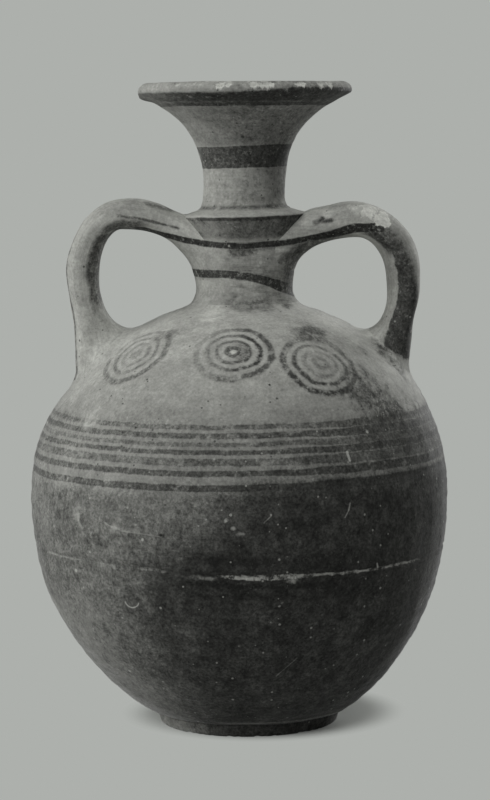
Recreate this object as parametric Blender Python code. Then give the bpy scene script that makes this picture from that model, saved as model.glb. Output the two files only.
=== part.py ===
"""Two-handled jug with a neck ridge and a funnel mouth.

The jug is built as a potter joins it: a foot ring, a bowl and a shoulder that
lap at the belly, a neck stem set in the shoulder, a ridge ring round the neck
joint, a funnel mouth, and two strap handles cut to fit the neck and shoulder.

Metres, +Z up. The origin is on the jug's axis, on the surface it stands on.
Left and right are -X and +X, with the handles in the XZ plane.
"""

import math

import bmesh
import bpy
from mathutils import Vector
from mathutils.geometry import interpolate_bezier

# Driving dimensions, metres

FOOT_HEIGHT = 0.0050          # foot ring, from the table to the bowl's base
FOOT_RADIUS = 0.0363          # at the table
FOOT_TOP_RADIUS = 0.0375      # under the bowl
FOOT_WIDTH = 0.0090           # width of the ring that touches the table
FOOT_KEY = 0.0015             # step under the bowl that centres the ring
BASE_LEDGE = 0.0015           # how far the bowl's base stands out over the ring

BELLY_RADIUS = 0.0850         # widest circle of the body
BELLY_HEIGHT = 0.0928         # height of the widest circle
SHOULDER_RISE = 0.0800        # from the widest circle to the shoulder's crown
BODY_WALL = 0.0050
FLOOR_THICKNESS = 0.0060
SEAM_DROP = 0.0188            # from the widest circle down to the seam
LAP_LENGTH = 0.0080           # tongue of the bowl inside the shoulder half

NECK_BORE = 0.0120            # radius of the passage through the neck
NECK_FOOT_RADIUS = 0.0215     # where the stem sits on the shoulder
NECK_FOOT_FILLET = 0.0050     # height of the luted clay round the stem's foot
SPIGOT_WALL = 0.0035          # stem's spigot in the shoulder opening
STEM_LENGTH = 0.0237          # shoulder's crown to the ridge seat
STEM_RADIUS = 0.0193          # at the stem's narrowest place
STEM_TOP_RADIUS = 0.0199      # under the ridge

RIDGE_HEIGHT = 0.0125         # ridge seat to the joint with the funnel
RIDGE_RADIUS = 0.0244         # sharp edge of the ridge
RIDGE_BORE = 0.0180           # stem inside the ridge ring
RIDGE_EDGE = 0.0008           # height of the ridge's edge face
RIDGE_TOP_DROP = 0.0018       # joint down to the upper arris of the ridge

SOCKET_RADIUS = 0.0152        # funnel's spigot in the top of the stem
SOCKET_DEPTH = 0.0080

FUNNEL_FOOT_RADIUS = 0.0189   # where the funnel stands on the ridge
FUNNEL_FOOT_HEIGHT = 0.0080   # from the joint to the funnel's waist
FUNNEL_WAIST_RADIUS = 0.0163
FUNNEL_RISE = 0.0386          # waist to the underside of the lip
FUNNEL_WALL = 0.0042
LIP_RADIUS = 0.0430           # widest circle of the mouth
LIP_DEPTH = 0.0044            # height of the lip's outer face
LIP_ROUND = 0.0014            # rounding of the lip's arris
LIP_TOP_WIDTH = 0.0030        # flat top of the lip
LIP_SLOPE = math.radians(30)  # slope of the funnel's underside at the lip

HANDLE_REACH = 0.0716         # axis of the jug to the handle's outermost place
HANDLE_REACH_DROP = 0.0155    # ridge seat down to that place
HANDLE_CROWN_X = 0.0460       # axis of the jug to the highest place
HANDLE_CROWN_RISE_LEFT = 0.0175   # ridge seat up to the top of the left handle
HANDLE_CROWN_RISE_RIGHT = 0.0146  # ridge seat up to the top of the right handle
HANDLE_THICKNESS = 0.0130     # seen from the front
HANDLE_WIDTH = 0.0220         # seen from the side
HANDLE_ROOT_RISE = 0.0070     # ridge seat up to the top of the root, inside the neck
HANDLE_ROOT_HEIGHT = 0.0245   # height of the root, inside the neck
HANDLE_ROOT_EMBED = 0.0038    # skin of the stem to the start of the root's curve
HANDLE_ROOT_END = 0.0060      # axis of the jug to the uncut end
HANDLE_FOOT_INNER = 0.0430    # inner end of the handle's foot on the shoulder
HANDLE_FOOT_OUTER = 0.0690    # outer end of the handle's foot on the shoulder
HANDLE_FOOT_EMBED = 0.0070    # uncut end inside the shoulder
ROOT_FLARE_WIDTH = 0.0100     # extra width where the handle meets the neck
ROOT_FLARE_LENGTH = 0.0140
FOOT_FLARE_WIDTH = 0.0100     # extra width where it meets the shoulder
FOOT_FLARE_LENGTH = 0.0240

# Fullness of the curves, as shares of the run between two places

WAIST_FULLNESS = 0.725        # upright run of the funnel above its waist
LIP_FULLNESS = 0.27           # straight run of the funnel up to its lip
ROOT_FULLNESS = 0.42          # level run from the crown back towards the neck
CROWN_FULLNESS = 0.75         # level run from the crown outwards
REACH_FULLNESS = 0.55         # upright run above the outermost place
FOOT_FULLNESS = 0.27          # upright run below the outermost place
OUTER_ROOT_PULL = (0.33, 0.45)    # from the root to the crown, along x and along z
INNER_ROOT_PULL = (0.18, 0.36)
OUTER_FOOT_PULL = (0.62, 0.35)    # from the foot to the outermost place
INNER_FOOT_PULL = (0.70, 0.31)
FILLET_FULLNESS = 0.6         # upright run of the luted clay round the stem's foot
FILLET_SPREAD = 0.5           # its level run, as a share of its width
FUNNEL_FOOT_FULLNESS = 0.5    # upright run of the funnel below its waist
FUNNEL_FOOT_RISE = 0.3        # height at which its foot starts to spread
LIP_FACE_DROP = 0.65          # top of the lip down to its widest circle

CLEARANCE = 0.0003            # gap between two pieces that touch

# Fineness of the round shapes

TURN_STEPS = 48               # sides of every turned piece
STRAP_SIDES = 20              # sides of a handle's section
SHARP_ANGLE = math.radians(35)

# Heights and radii that follow from the driving dimensions

BASE_RADIUS = FOOT_TOP_RADIUS + BASE_LEDGE
SEAM_HEIGHT = BELLY_HEIGHT - SEAM_DROP
CROWN_HEIGHT = BELLY_HEIGHT + SHOULDER_RISE
RIDGE_SEAT = CROWN_HEIGHT + STEM_LENGTH
NECK_JOINT = RIDGE_SEAT + RIDGE_HEIGHT
FUNNEL_WAIST = NECK_JOINT + FUNNEL_FOOT_HEIGHT
LIP_UNDERSIDE = FUNNEL_WAIST + FUNNEL_RISE
TOTAL_HEIGHT = LIP_UNDERSIDE + LIP_DEPTH
OPENING_RADIUS = NECK_BORE + SPIGOT_WALL + CLEARANCE
BELLY_DROP = (BELLY_HEIGHT - FOOT_HEIGHT) / math.sqrt(1 - (BASE_RADIUS / BELLY_RADIUS) ** 2)

# Colours of the fired clay, as the photograph's greys

CLAY_PALE = (0.36, 0.36, 0.34)
CLAY_DARK = (0.17, 0.17, 0.16)
CLAY_ROUGHNESS = 0.85


def clear_scene():
    """Remove every object that the file opened with."""
    for obj in list(bpy.data.objects):
        bpy.data.objects.remove(obj, do_unlink=True)


def clay(name, colour):
    """A matt fired clay of one colour."""
    material = bpy.data.materials.new(name)
    material.use_nodes = True
    shader = material.node_tree.nodes["Principled BSDF"]
    shader.inputs["Base Color"].default_value = (*colour, 1.0)
    shader.inputs["Roughness"].default_value = CLAY_ROUGHNESS
    shader.inputs["Metallic"].default_value = 0.0
    material.diffuse_color = (*colour, 1.0)
    return material


def add_mesh(name, bm, material=None):
    """Turn a bmesh into an object whose round faces are shaded smooth."""
    bmesh.ops.recalc_face_normals(bm, faces=bm.faces)
    mesh = bpy.data.meshes.new(name)
    bm.to_mesh(mesh)
    bm.free()
    mesh.shade_smooth()
    mesh.set_sharp_from_angle(angle=SHARP_ANGLE)
    if material:
        mesh.materials.append(material)
    obj = bpy.data.objects.new(name, mesh)
    bpy.context.collection.objects.link(obj)
    return obj


def turned(name, outline, material=None, closed=True):
    """Turn an outline of (radius, height) points round the jug's axis.

    A closed outline makes a ring. An open one starts and ends on the axis.
    """
    bm = bmesh.new()
    points = [bm.verts.new((radius, 0.0, height)) for radius, height in outline]
    pairs = list(zip(points, points[1:]))
    if closed:
        pairs.append((points[-1], points[0]))
    edges = [bm.edges.new(pair) for pair in pairs]
    bmesh.ops.spin(
        bm,
        geom=points + edges,
        cent=(0.0, 0.0, 0.0),
        axis=(0.0, 0.0, 1.0),
        angle=2 * math.pi,
        steps=TURN_STEPS,
        use_merge=True,
    )
    bmesh.ops.remove_doubles(bm, verts=bm.verts, dist=1e-6)
    return add_mesh(name, bm, material)


def body_rise(height):
    """Half-height of the ellipse that the body follows above or below its belly."""
    return SHOULDER_RISE if height >= BELLY_HEIGHT else BELLY_DROP


def body_height(radius, depth=0.0):
    """Height on the shoulder of the surface that lies depth inside the skin."""
    share = radius / (BELLY_RADIUS - depth)
    return BELLY_HEIGHT + (SHOULDER_RISE - depth) * math.sqrt(1 - share ** 2)


def body_arc(depth, start, end, count):
    """Points along the body's curve between two heights, evenly turned."""
    first, last = (
        math.asin((height - BELLY_HEIGHT) / (body_rise(height) - depth)) for height in (start, end)
    )
    points = []
    for step in range(count + 1):
        angle = first + (last - first) * step / count
        rise = SHOULDER_RISE if angle >= 0 else BELLY_DROP
        radius = (BELLY_RADIUS - depth) * math.cos(angle)
        points.append((radius, BELLY_HEIGHT + (rise - depth) * math.sin(angle)))
    return points


def curve(start, start_pull, end_pull, end, count):
    """Points of a Bezier curve in the (radius, height) plane."""
    knots = [Vector((x, 0.0, z)) for x, z in (start, start_pull, end_pull, end)]
    return [(point.x, point.z) for point in interpolate_bezier(*knots, count + 1)]


def inset(points, distance):
    """Move an outline towards the axis side by one wall thickness."""
    moved = []
    for index, (radius, height) in enumerate(points):
        before = points[max(index - 1, 0)]
        after = points[min(index + 1, len(points) - 1)]
        along = Vector((after[0] - before[0], after[1] - before[1])).normalized()
        moved.append((radius - distance * along.y, height + distance * along.x))
    return moved


def foot_ring(material):
    """The low ring that the jug stands on, keyed to the bowl's base."""
    top = FOOT_HEIGHT - CLEARANCE
    inner = FOOT_RADIUS - FOOT_WIDTH
    outline = [
        (FOOT_TOP_RADIUS, top),
        (FOOT_RADIUS, 0.0),
        (inner, 0.0),
        (inner, top),
    ]
    return turned("foot_ring", outline, material)


def body_lower(material):
    """The bowl, whose rim ends in a tongue that laps inside the upper half."""
    half_gap = CLEARANCE / 2
    floor = FOOT_HEIGHT + FLOOR_THICKNESS
    key_radius = FOOT_RADIUS - FOOT_WIDTH - CLEARANCE
    tongue_top = SEAM_HEIGHT + LAP_LENGTH
    middle = BODY_WALL / 2 + half_gap
    outline = [(0.0, floor)]
    outline += body_arc(BODY_WALL, floor, tongue_top, 10)
    outline += body_arc(middle, tongue_top, SEAM_HEIGHT, 2)
    outline += body_arc(0.0, SEAM_HEIGHT, FOOT_HEIGHT, 13)
    outline += [
        (key_radius, FOOT_HEIGHT),
        (key_radius, FOOT_HEIGHT - FOOT_KEY),
        (0.0, FOOT_HEIGHT - FOOT_KEY),
    ]
    return turned("body_lower", outline, material, closed=False)


def body_upper(material):
    """The upper belly and shoulder, with the round opening for the neck."""
    half_gap = CLEARANCE / 2
    seam = SEAM_HEIGHT + CLEARANCE
    tongue_top = SEAM_HEIGHT + LAP_LENGTH + CLEARANCE
    middle = BODY_WALL / 2 - half_gap
    opening_outer = body_height(OPENING_RADIUS)
    opening_inner = body_height(OPENING_RADIUS, BODY_WALL)
    outline = body_arc(0.0, opening_outer, seam, 16)
    outline += body_arc(middle, seam, tongue_top, 2)
    outline += body_arc(BODY_WALL, tongue_top, opening_inner, 13)
    return turned("body_upper", outline, material)


def stem_side(gap, count):
    """Outer side of the stem from the ridge seat down to the shoulder."""
    foot_radius = NECK_FOOT_RADIUS + gap
    foot = (foot_radius, body_height(foot_radius, -CLEARANCE))
    waist = CROWN_HEIGHT + NECK_FOOT_FILLET
    lean = (RIDGE_SEAT - waist) / 2
    upper = curve(
        (STEM_TOP_RADIUS + gap, RIDGE_SEAT - gap),
        (STEM_TOP_RADIUS + gap, RIDGE_SEAT - lean),
        (STEM_RADIUS + gap, waist + lean),
        (STEM_RADIUS + gap, waist),
        count,
    )
    fillet = curve(
        (STEM_RADIUS + gap, waist),
        (STEM_RADIUS + gap, waist - NECK_FOOT_FILLET * FILLET_FULLNESS),
        (foot_radius - (NECK_FOOT_RADIUS - STEM_RADIUS) * FILLET_SPREAD, foot[1] + CLEARANCE),
        foot,
        count,
    )
    return upper + fillet[1:]


def neck_stem(material):
    """The lower neck: spigot in the shoulder, seat for the ridge, socket for the funnel."""
    spigot_radius = NECK_BORE + SPIGOT_WALL
    spigot_end = body_height(OPENING_RADIUS, BODY_WALL)
    top = NECK_JOINT - CLEARANCE
    socket_floor = NECK_JOINT - SOCKET_DEPTH - CLEARANCE
    socket = SOCKET_RADIUS + CLEARANCE
    outline = [(RIDGE_BORE, top), (RIDGE_BORE, RIDGE_SEAT)]
    outline += [(STEM_TOP_RADIUS, RIDGE_SEAT)]
    outline += stem_side(0.0, 5)[1:]
    outline += [
        (spigot_radius, body_height(spigot_radius, -CLEARANCE)),
        (spigot_radius, spigot_end),
        (NECK_BORE, spigot_end),
        (NECK_BORE, socket_floor),
        (socket, socket_floor),
        (socket, top),
    ]
    return turned("neck_stem", outline, material)


def ridge_side(gap):
    """Outer side of the ridge, from its upper arris down to its seat."""
    arris = NECK_JOINT - RIDGE_TOP_DROP
    return [
        (RIDGE_RADIUS + gap, arris),
        (RIDGE_RADIUS + gap, arris - RIDGE_EDGE - gap),
        (STEM_TOP_RADIUS + gap, RIDGE_SEAT - gap),
    ]


def neck_ridge(material):
    """The ridge ring, which rests on the stem's step under the funnel's foot."""
    seat = RIDGE_SEAT + CLEARANCE
    bore = RIDGE_BORE + CLEARANCE
    top = NECK_JOINT - CLEARANCE
    outline = [(FUNNEL_FOOT_RADIUS, top)]
    outline += ridge_side(0.0)[:2]
    outline += [(STEM_TOP_RADIUS, seat), (bore, seat), (bore, top)]
    return turned("neck_ridge", outline, material)


def mouth_funnel(material):
    """The upper neck and funnel mouth, with a spigot that stands in the stem."""
    lip_corner = (LIP_RADIUS - LIP_ROUND / 3, LIP_UNDERSIDE)
    pull = FUNNEL_RISE * LIP_FULLNESS
    flare = curve(
        (FUNNEL_WAIST_RADIUS, FUNNEL_WAIST),
        (FUNNEL_WAIST_RADIUS, FUNNEL_WAIST + FUNNEL_RISE * WAIST_FULLNESS),
        (lip_corner[0] - pull * math.cos(LIP_SLOPE), lip_corner[1] - pull * math.sin(LIP_SLOPE)),
        lip_corner,
        14,
    )
    foot = curve(
        (FUNNEL_WAIST_RADIUS, FUNNEL_WAIST),
        (FUNNEL_WAIST_RADIUS, FUNNEL_WAIST - FUNNEL_FOOT_HEIGHT * FUNNEL_FOOT_FULLNESS),
        (FUNNEL_WAIST_RADIUS, NECK_JOINT + FUNNEL_FOOT_HEIGHT * FUNNEL_FOOT_RISE),
        (FUNNEL_FOOT_RADIUS, NECK_JOINT),
        5,
    )
    lip = [
        (LIP_RADIUS - LIP_ROUND - LIP_TOP_WIDTH, TOTAL_HEIGHT),
        (LIP_RADIUS - LIP_ROUND, TOTAL_HEIGHT),
        (LIP_RADIUS - LIP_ROUND / 3, TOTAL_HEIGHT - LIP_ROUND / 2),
        (LIP_RADIUS, TOTAL_HEIGHT - LIP_DEPTH * LIP_FACE_DROP),
    ]
    inner = [point for point in inset(flare, FUNNEL_WALL) if point[1] < TOTAL_HEIGHT - LIP_ROUND]
    bore_top = [(max(NECK_BORE, radius), height) for radius, height in inner[::2]]
    outline = lip
    outline += flare[::-1]
    outline += foot[1:]
    outline += [
        (SOCKET_RADIUS, NECK_JOINT),
        (SOCKET_RADIUS, NECK_JOINT - SOCKET_DEPTH),
        (NECK_BORE, NECK_JOINT - SOCKET_DEPTH),
    ]
    outline += bore_top
    return turned("mouth_funnel", outline, material)


def vessel_cutter():
    """The jug's outer skin grown by the clearance, which trims the handles' ends."""
    gap = CLEARANCE
    shoulder_start = body_height(NECK_FOOT_RADIUS + gap, -gap)
    above_ridge = NECK_JOINT + RIDGE_HEIGHT
    outline = [(0.0, above_ridge), (RIDGE_RADIUS + gap, above_ridge)]
    outline += ridge_side(gap)
    outline += stem_side(gap, 5)[1:-1]
    outline += body_arc(-gap, shoulder_start, BELLY_HEIGHT, 16)
    outline += [(0.0, BELLY_HEIGHT)]
    cutter = turned("vessel_cutter", outline, closed=False)
    cutter.hide_render = True
    cutter.display_type = "WIRE"
    return cutter


def shoulder_point(radius):
    """A point at the handle's embedded depth under the shoulder, square to the skin."""
    height = body_height(radius)
    normal = Vector((radius / BELLY_RADIUS ** 2, (height - BELLY_HEIGHT) / SHOULDER_RISE ** 2))
    sunk = Vector((radius, height)) - normal.normalized() * HANDLE_FOOT_EMBED
    return (sunk.x, sunk.y)


def towards(start, end, shares):
    """A point between two places, by a share of the way along x and one along z."""
    return tuple(near + (far - near) * share for near, far, share in zip(start, end, shares))


def handle_edge(root, root_pull, crown, reach, foot_pull, foot):
    """One edge of a handle in the XZ plane: up from the neck, over, and down."""
    rising = curve(
        root,
        towards(root, crown, root_pull),
        (crown[0] - (crown[0] - root[0]) * ROOT_FULLNESS, crown[1]),
        crown,
        9,
    )
    turning = curve(
        crown,
        (crown[0] + (reach[0] - crown[0]) * CROWN_FULLNESS, crown[1]),
        (reach[0], reach[1] + (crown[1] - reach[1]) * REACH_FULLNESS),
        reach,
        10,
    )
    falling = curve(
        reach,
        (reach[0], reach[1] + (foot[1] - reach[1]) * FOOT_FULLNESS),
        towards(foot, reach, foot_pull),
        foot,
        8,
    )
    return [(HANDLE_ROOT_END, root[1])] + rising + turning[1:] + falling[1:]


def handle_edges(crown_rise):
    """The handle's outer and inner edges, point by point side by side."""
    root_x = STEM_RADIUS - HANDLE_ROOT_EMBED
    root_top = RIDGE_SEAT + HANDLE_ROOT_RISE
    root_bottom = root_top - HANDLE_ROOT_HEIGHT
    crown_top = RIDGE_SEAT + crown_rise
    crown_bottom = crown_top - HANDLE_THICKNESS
    reach_height = RIDGE_SEAT - HANDLE_REACH_DROP
    inner_reach = HANDLE_REACH - HANDLE_THICKNESS
    outer_foot = shoulder_point(HANDLE_FOOT_OUTER)
    inner_foot = shoulder_point(HANDLE_FOOT_INNER)
    outer = handle_edge(
        (root_x, root_top),
        OUTER_ROOT_PULL,
        (HANDLE_CROWN_X, crown_top),
        (HANDLE_REACH, reach_height),
        OUTER_FOOT_PULL,
        outer_foot,
    )
    inner = handle_edge(
        (root_x, root_bottom),
        INNER_ROOT_PULL,
        (HANDLE_CROWN_X, crown_bottom),
        (inner_reach, reach_height),
        INNER_FOOT_PULL,
        inner_foot,
    )
    return outer, inner


def flare(distance, length):
    """Share of a flare left at a distance from where a handle is luted on."""
    return min(1.0, max(0.0, 1.0 - distance / length)) ** 2


def strap_handle(name, side, crown_rise, cutter, material):
    """A pulled strap of oval section that widens where it is luted on.

    side is -1 for the left handle and +1 for the right one.
    """
    outer, inner = handle_edges(crown_rise)
    foot_height = body_height((HANDLE_FOOT_INNER + HANDLE_FOOT_OUTER) / 2)
    bm = bmesh.new()
    rings = []
    for top, bottom in zip(outer, inner):
        centre = Vector((top[0] + bottom[0], 0.0, top[1] + bottom[1])) / 2
        half = Vector((top[0] - bottom[0], 0.0, top[1] - bottom[1])) / 2
        past_crown = centre.x > HANDLE_CROWN_X
        width = HANDLE_WIDTH
        width += ROOT_FLARE_WIDTH * flare(centre.x - STEM_RADIUS, ROOT_FLARE_LENGTH)
        if past_crown:
            width += FOOT_FLARE_WIDTH * flare(centre.z - foot_height, FOOT_FLARE_LENGTH)
        ring = []
        for step in range(STRAP_SIDES):
            angle = 2 * math.pi * step / STRAP_SIDES
            point = centre + half * math.cos(angle)
            point.y = width / 2 * math.sin(angle)
            point.x *= side
            ring.append(bm.verts.new(point))
        rings.append(ring)
    for near, far in zip(rings, rings[1:]):
        for step in range(STRAP_SIDES):
            follow = (step + 1) % STRAP_SIDES
            bm.faces.new((near[step], near[follow], far[follow], far[step]))
    bm.faces.new(rings[0])
    bm.faces.new(rings[-1])
    obj = add_mesh(name, bm, material)
    trim = obj.modifiers.new("trim_to_vessel", "BOOLEAN")
    trim.operation = "DIFFERENCE"
    trim.solver = "EXACT"
    trim.object = cutter
    return obj


def main():
    clear_scene()
    pale = clay("pale_clay", CLAY_PALE)
    dark = clay("dark_clay", CLAY_DARK)
    foot_ring(dark)
    body_lower(dark)
    body_upper(pale)
    neck_stem(pale)
    neck_ridge(dark)
    mouth_funnel(pale)
    cutter = vessel_cutter()
    strap_handle("handle_left", -1, HANDLE_CROWN_RISE_LEFT, cutter, pale)
    strap_handle("handle_right", 1, HANDLE_CROWN_RISE_RIGHT, cutter, pale)


main()
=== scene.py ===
"""Looks of the two-handled jug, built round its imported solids.

Each piece of clay is modelled again at a fine scale, with the thrower's marks,
the lean of the hand-made body, chips on the lip and handles luted smoothly to
the neck and shoulder. The paint is procedural, in the jug's own coordinates.

Metres, +Z up. -Y is the side that the photograph shows.
"""

import math
from collections import namedtuple
from functools import partial, partialmethod

import bmesh
import bpy
import numpy as np
from mathutils import Matrix, Vector
from mathutils.bvhtree import BVHTree
from mathutils.geometry import interpolate_bezier


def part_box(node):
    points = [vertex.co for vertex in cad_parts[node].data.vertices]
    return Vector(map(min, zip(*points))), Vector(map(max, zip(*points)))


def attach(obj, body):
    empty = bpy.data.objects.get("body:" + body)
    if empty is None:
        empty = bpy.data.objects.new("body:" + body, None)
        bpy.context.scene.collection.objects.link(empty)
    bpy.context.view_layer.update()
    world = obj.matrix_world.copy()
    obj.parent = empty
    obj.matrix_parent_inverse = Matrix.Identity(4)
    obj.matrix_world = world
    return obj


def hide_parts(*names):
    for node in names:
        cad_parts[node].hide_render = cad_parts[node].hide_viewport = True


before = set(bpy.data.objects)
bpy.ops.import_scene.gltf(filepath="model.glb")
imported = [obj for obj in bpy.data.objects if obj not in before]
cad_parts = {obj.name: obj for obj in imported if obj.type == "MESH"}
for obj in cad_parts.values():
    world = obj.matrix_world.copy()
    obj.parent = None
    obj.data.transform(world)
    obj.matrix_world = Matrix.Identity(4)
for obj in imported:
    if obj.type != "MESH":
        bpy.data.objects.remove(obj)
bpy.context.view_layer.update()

# Sizes read from the frame

FOOT_TOP_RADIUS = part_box("foot_ring")[1].x
BELLY_RADIUS = max(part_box("body_lower")[1].x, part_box("body_upper")[1].x)
RIDGE_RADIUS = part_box("neck_ridge")[1].x
LIP_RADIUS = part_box("mouth_funnel")[1].x
TOTAL_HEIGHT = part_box("mouth_funnel")[1].z
HANDLE_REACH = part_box("handle_right")[1].x
HANDLE_TOP_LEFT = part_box("handle_left")[1].z
HANDLE_TOP_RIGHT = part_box("handle_right")[1].z

# Sizes that the frame holds but no box gives

FOOT_HEIGHT = 0.005
FOOT_RADIUS = 0.0363
FOOT_WIDTH = 0.009
BASE_RADIUS = 0.039
BELLY_HEIGHT = 0.0928
SHOULDER_RISE = 0.08
BODY_WALL = 0.005
FLOOR_HEIGHT = 0.011
SEAM_HEIGHT = 0.074
LAP_LENGTH = 0.008
NECK_BORE = 0.012
NECK_FOOT_RADIUS = 0.0215
NECK_FOOT_FILLET = 0.0052
OPENING_RADIUS = 0.0156
CROWN_HEIGHT = BELLY_HEIGHT + SHOULDER_RISE
STEM_RADIUS = 0.0193
STEM_TOP_RADIUS = 0.0199
RIDGE_SEAT = 0.1965
NECK_JOINT = 0.209
RIDGE_BORE = 0.018
RIDGE_EDGE = 0.0008
RIDGE_TOP_DROP = 0.0018
SOCKET_RADIUS = 0.0152
SOCKET_DEPTH = 0.008
FUNNEL_FOOT_RADIUS = 0.0189
FUNNEL_WAIST = 0.217
FUNNEL_WAIST_RADIUS = 0.0163
FUNNEL_WALL = 0.0042
LIP_UNDERSIDE = 0.2556
LIP_SLOPE = math.radians(30)
LIP_ROUND = 0.0038
LIP_CORNER = 0.0005
LIP_TOP_WIDTH = 0.0016
HANDLE_WIDTH = 0.022
HANDLE_ROOT_X = 0.0155
HANDLE_ROOT_END = 0.015
HANDLE_FOOT_DEPTH = 0.0032
BELLY_DROP = (BELLY_HEIGHT - FOOT_HEIGHT) / math.sqrt(1 - (BASE_RADIUS / BELLY_RADIUS) ** 2)

# Fineness of the meshes

TURN_STEPS = 360
STRAP_SIDES = 72
SHARP_ANGLE = math.radians(38)

# Signs of the hand

BELLY_LEAN = -0.0029  # the belly stands this far to the left of the foot and neck
FUNNEL_LEAN = 0.0006  # and the mouth this far to the right
LIP_SPREAD = 0.01  # share by which the lip was pulled wider than its true circle
RIDGE_TILT = 0.018  # slope of the ridge, its left side lower
BELLY_LEANS = (0, 0.058)  # heights between which the belly's lean sets in
BELLY_STRAIGHTENS = (0.16, 0.108)  # and ends again, and so on for the others
RIDGE_TILTS = (0.196, 0.206)
RIDGE_LEVELS = (0.217, 0.209)
RIDGE_REACH = (0.036, 0.0255)  # and radii, so that the handles stay as they are
FUNNEL_LEANS = (0.212, 0.226)
LIP_SPREADS = (0.235, 0.256)
COLLAR_RADIUS = 0.028  # where the clay smoothed up to the neck begins
COLLAR_RISE = 0.0014  # and how much higher it meets the neck than the plain shoulder
SEAM_GROOVE = 0.00035  # depth of the groove at the seam
SEAM_HALF_WIDTH = 0.0005
SEAM_DIP = 0.002  # how far the seam sinks in front
SEAM_RISE = 0.0034  # and rises from there to the left and the back
SEAM_LEFT = (0.12, -0.72)  # bearings, in radians right of the front, between which it rises
SEAM_RIGHT = (0.35, 1.05)
SEAM_BACK = (1.3, 3.1)
SEAM_RIGHT_SHARE = 0.12
JOINT_GROOVE = 0.0003  # groove between the ridge and the funnel
SHOULDER_LUTING = 0.009  # how far clay is smoothed out where a handle is luted on
NECK_LUTING = 0.004
NECK_LUTED = (0.166, 0.176)  # heights between which the neck's reach takes over
OUTER_LUTING = 0.003  # on the outer side of a handle's foot
OUTSIDE_LUTED = (0.058, 0.066)  # distances to the side between which that one does
RIDGE_LUTING = 0.0012  # under the ridge, which is left crisp
LUTED_ABOVE = 0.13  # the vessel's skin is luted only above this height,
LUTED_BESIDE = 0.003  # this far to the side
SKIN_DEPTH = 0.0002  # and down to this depth
LUTING_DEPTH = 0.0022  # points that lie deeper than this in the other piece stay
LUTING_PASSES = 7
LUTING_STRIDE = (-0.0008, 0.0015)
TUCK = 0.00025  # how deep one skin dips under the other past their joint
THROWING_DEPTH = 0.00005
LUMP_DEPTH = 0.00011
PULL_DEPTH = 0.00012  # unevenness of the pulled handles


def bezier(start, start_pull, end_pull, end, count):
    """Points of a Bezier curve in the (radius, height) plane."""
    knots = [Vector((x, 0, z)) for x, z in (start, start_pull, end_pull, end)]
    return [(point.x, point.z) for point in interpolate_bezier(*knots, count + 1)]


def body_point(angle, depth=0):
    """A point on the body's curve; the angle is 0 at the belly and grows upwards."""
    rise = SHOULDER_RISE if angle >= 0 else BELLY_DROP
    return (BELLY_RADIUS - depth) * math.cos(angle), BELLY_HEIGHT + (rise - depth) * math.sin(angle)


def body_angle(height, depth=0):
    rise = SHOULDER_RISE if height >= BELLY_HEIGHT else BELLY_DROP
    return math.asin((height - BELLY_HEIGHT) / (rise - depth))


def body_height(radius, depth=0):
    """Height of the shoulder at a radius."""
    share = radius / (BELLY_RADIUS - depth)
    return BELLY_HEIGHT + (SHOULDER_RISE - depth) * math.sqrt(1 - share ** 2)


def body_arc(start, end, count, depth=0):
    first, last = body_angle(start, depth), body_angle(end, depth)
    return [body_point(first + (last - first) * index / count, depth) for index in range(count + 1)]


def towards(start, end, shares):
    """A point between two places, by a share of the way along the first axis and the second."""
    return tuple(near + (far - near) * share for near, far, share in zip(start, end, shares))


def straight(start, end, count):
    across, up = end[0] - start[0], end[1] - start[1]
    return [
        (start[0] + across * index / count, start[1] + up * index / count)
        for index in range(count + 1)
    ]


def path(start, *legs):
    """Points along legs that are straight, (end, count), or curved, (pull, pull, end, count)."""
    points = []
    for *pulls, end, count in legs:
        leg = bezier(start, *pulls, end, count) if pulls else straight(start, end, count)
        points += leg[1:] if points else leg
        start = end
    return points


def inset(points, distance):
    """Move an outline towards the axis side by one wall thickness."""
    moved = []
    for index, (radius, height) in enumerate(points):
        before = points[max(index - 1, 0)]
        after = points[min(index + 1, len(points) - 1)]
        along = Vector((after[0] - before[0], after[1] - before[1])).normalized()
        moved.append((radius - distance * along.y, height + distance * along.x))
    return moved


def bowl_side():
    return body_arc(FOOT_HEIGHT, SEAM_HEIGHT, 84)


def neck_foot():
    """Where the stem's skin meets the clay smoothed up to it."""
    return NECK_FOOT_RADIUS, body_height(NECK_FOOT_RADIUS) + COLLAR_RISE


def shoulder_side():
    """The shoulder, with a hollow curve up to the neck."""
    start = (COLLAR_RADIUS, body_height(COLLAR_RADIUS))
    end = neck_foot()
    pulls = (start[0] - 0.0029, start[1] + 0.001), (end[0] + 0.0012, end[1] - 0.0014)
    return body_arc(SEAM_HEIGHT, start[1], 106) + bezier(start, *pulls, end, 14)[1:]


def stem_side():
    """The stem from the shoulder up to the ridge."""
    foot = neck_foot()
    waist = CROWN_HEIGHT + NECK_FOOT_FILLET
    lean = (RIDGE_SEAT - waist) / 2
    low_pulls = (foot[0] - 0.0011, foot[1] + 0.0013), (STEM_RADIUS, waist - NECK_FOOT_FILLET * 0.45)
    high_pulls = (STEM_RADIUS, waist + lean), (STEM_TOP_RADIUS, RIDGE_SEAT - lean)
    fillet = (*low_pulls, (STEM_RADIUS, waist), 12)
    return path(foot, fillet, (*high_pulls, (STEM_TOP_RADIUS, RIDGE_SEAT), 24))


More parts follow.
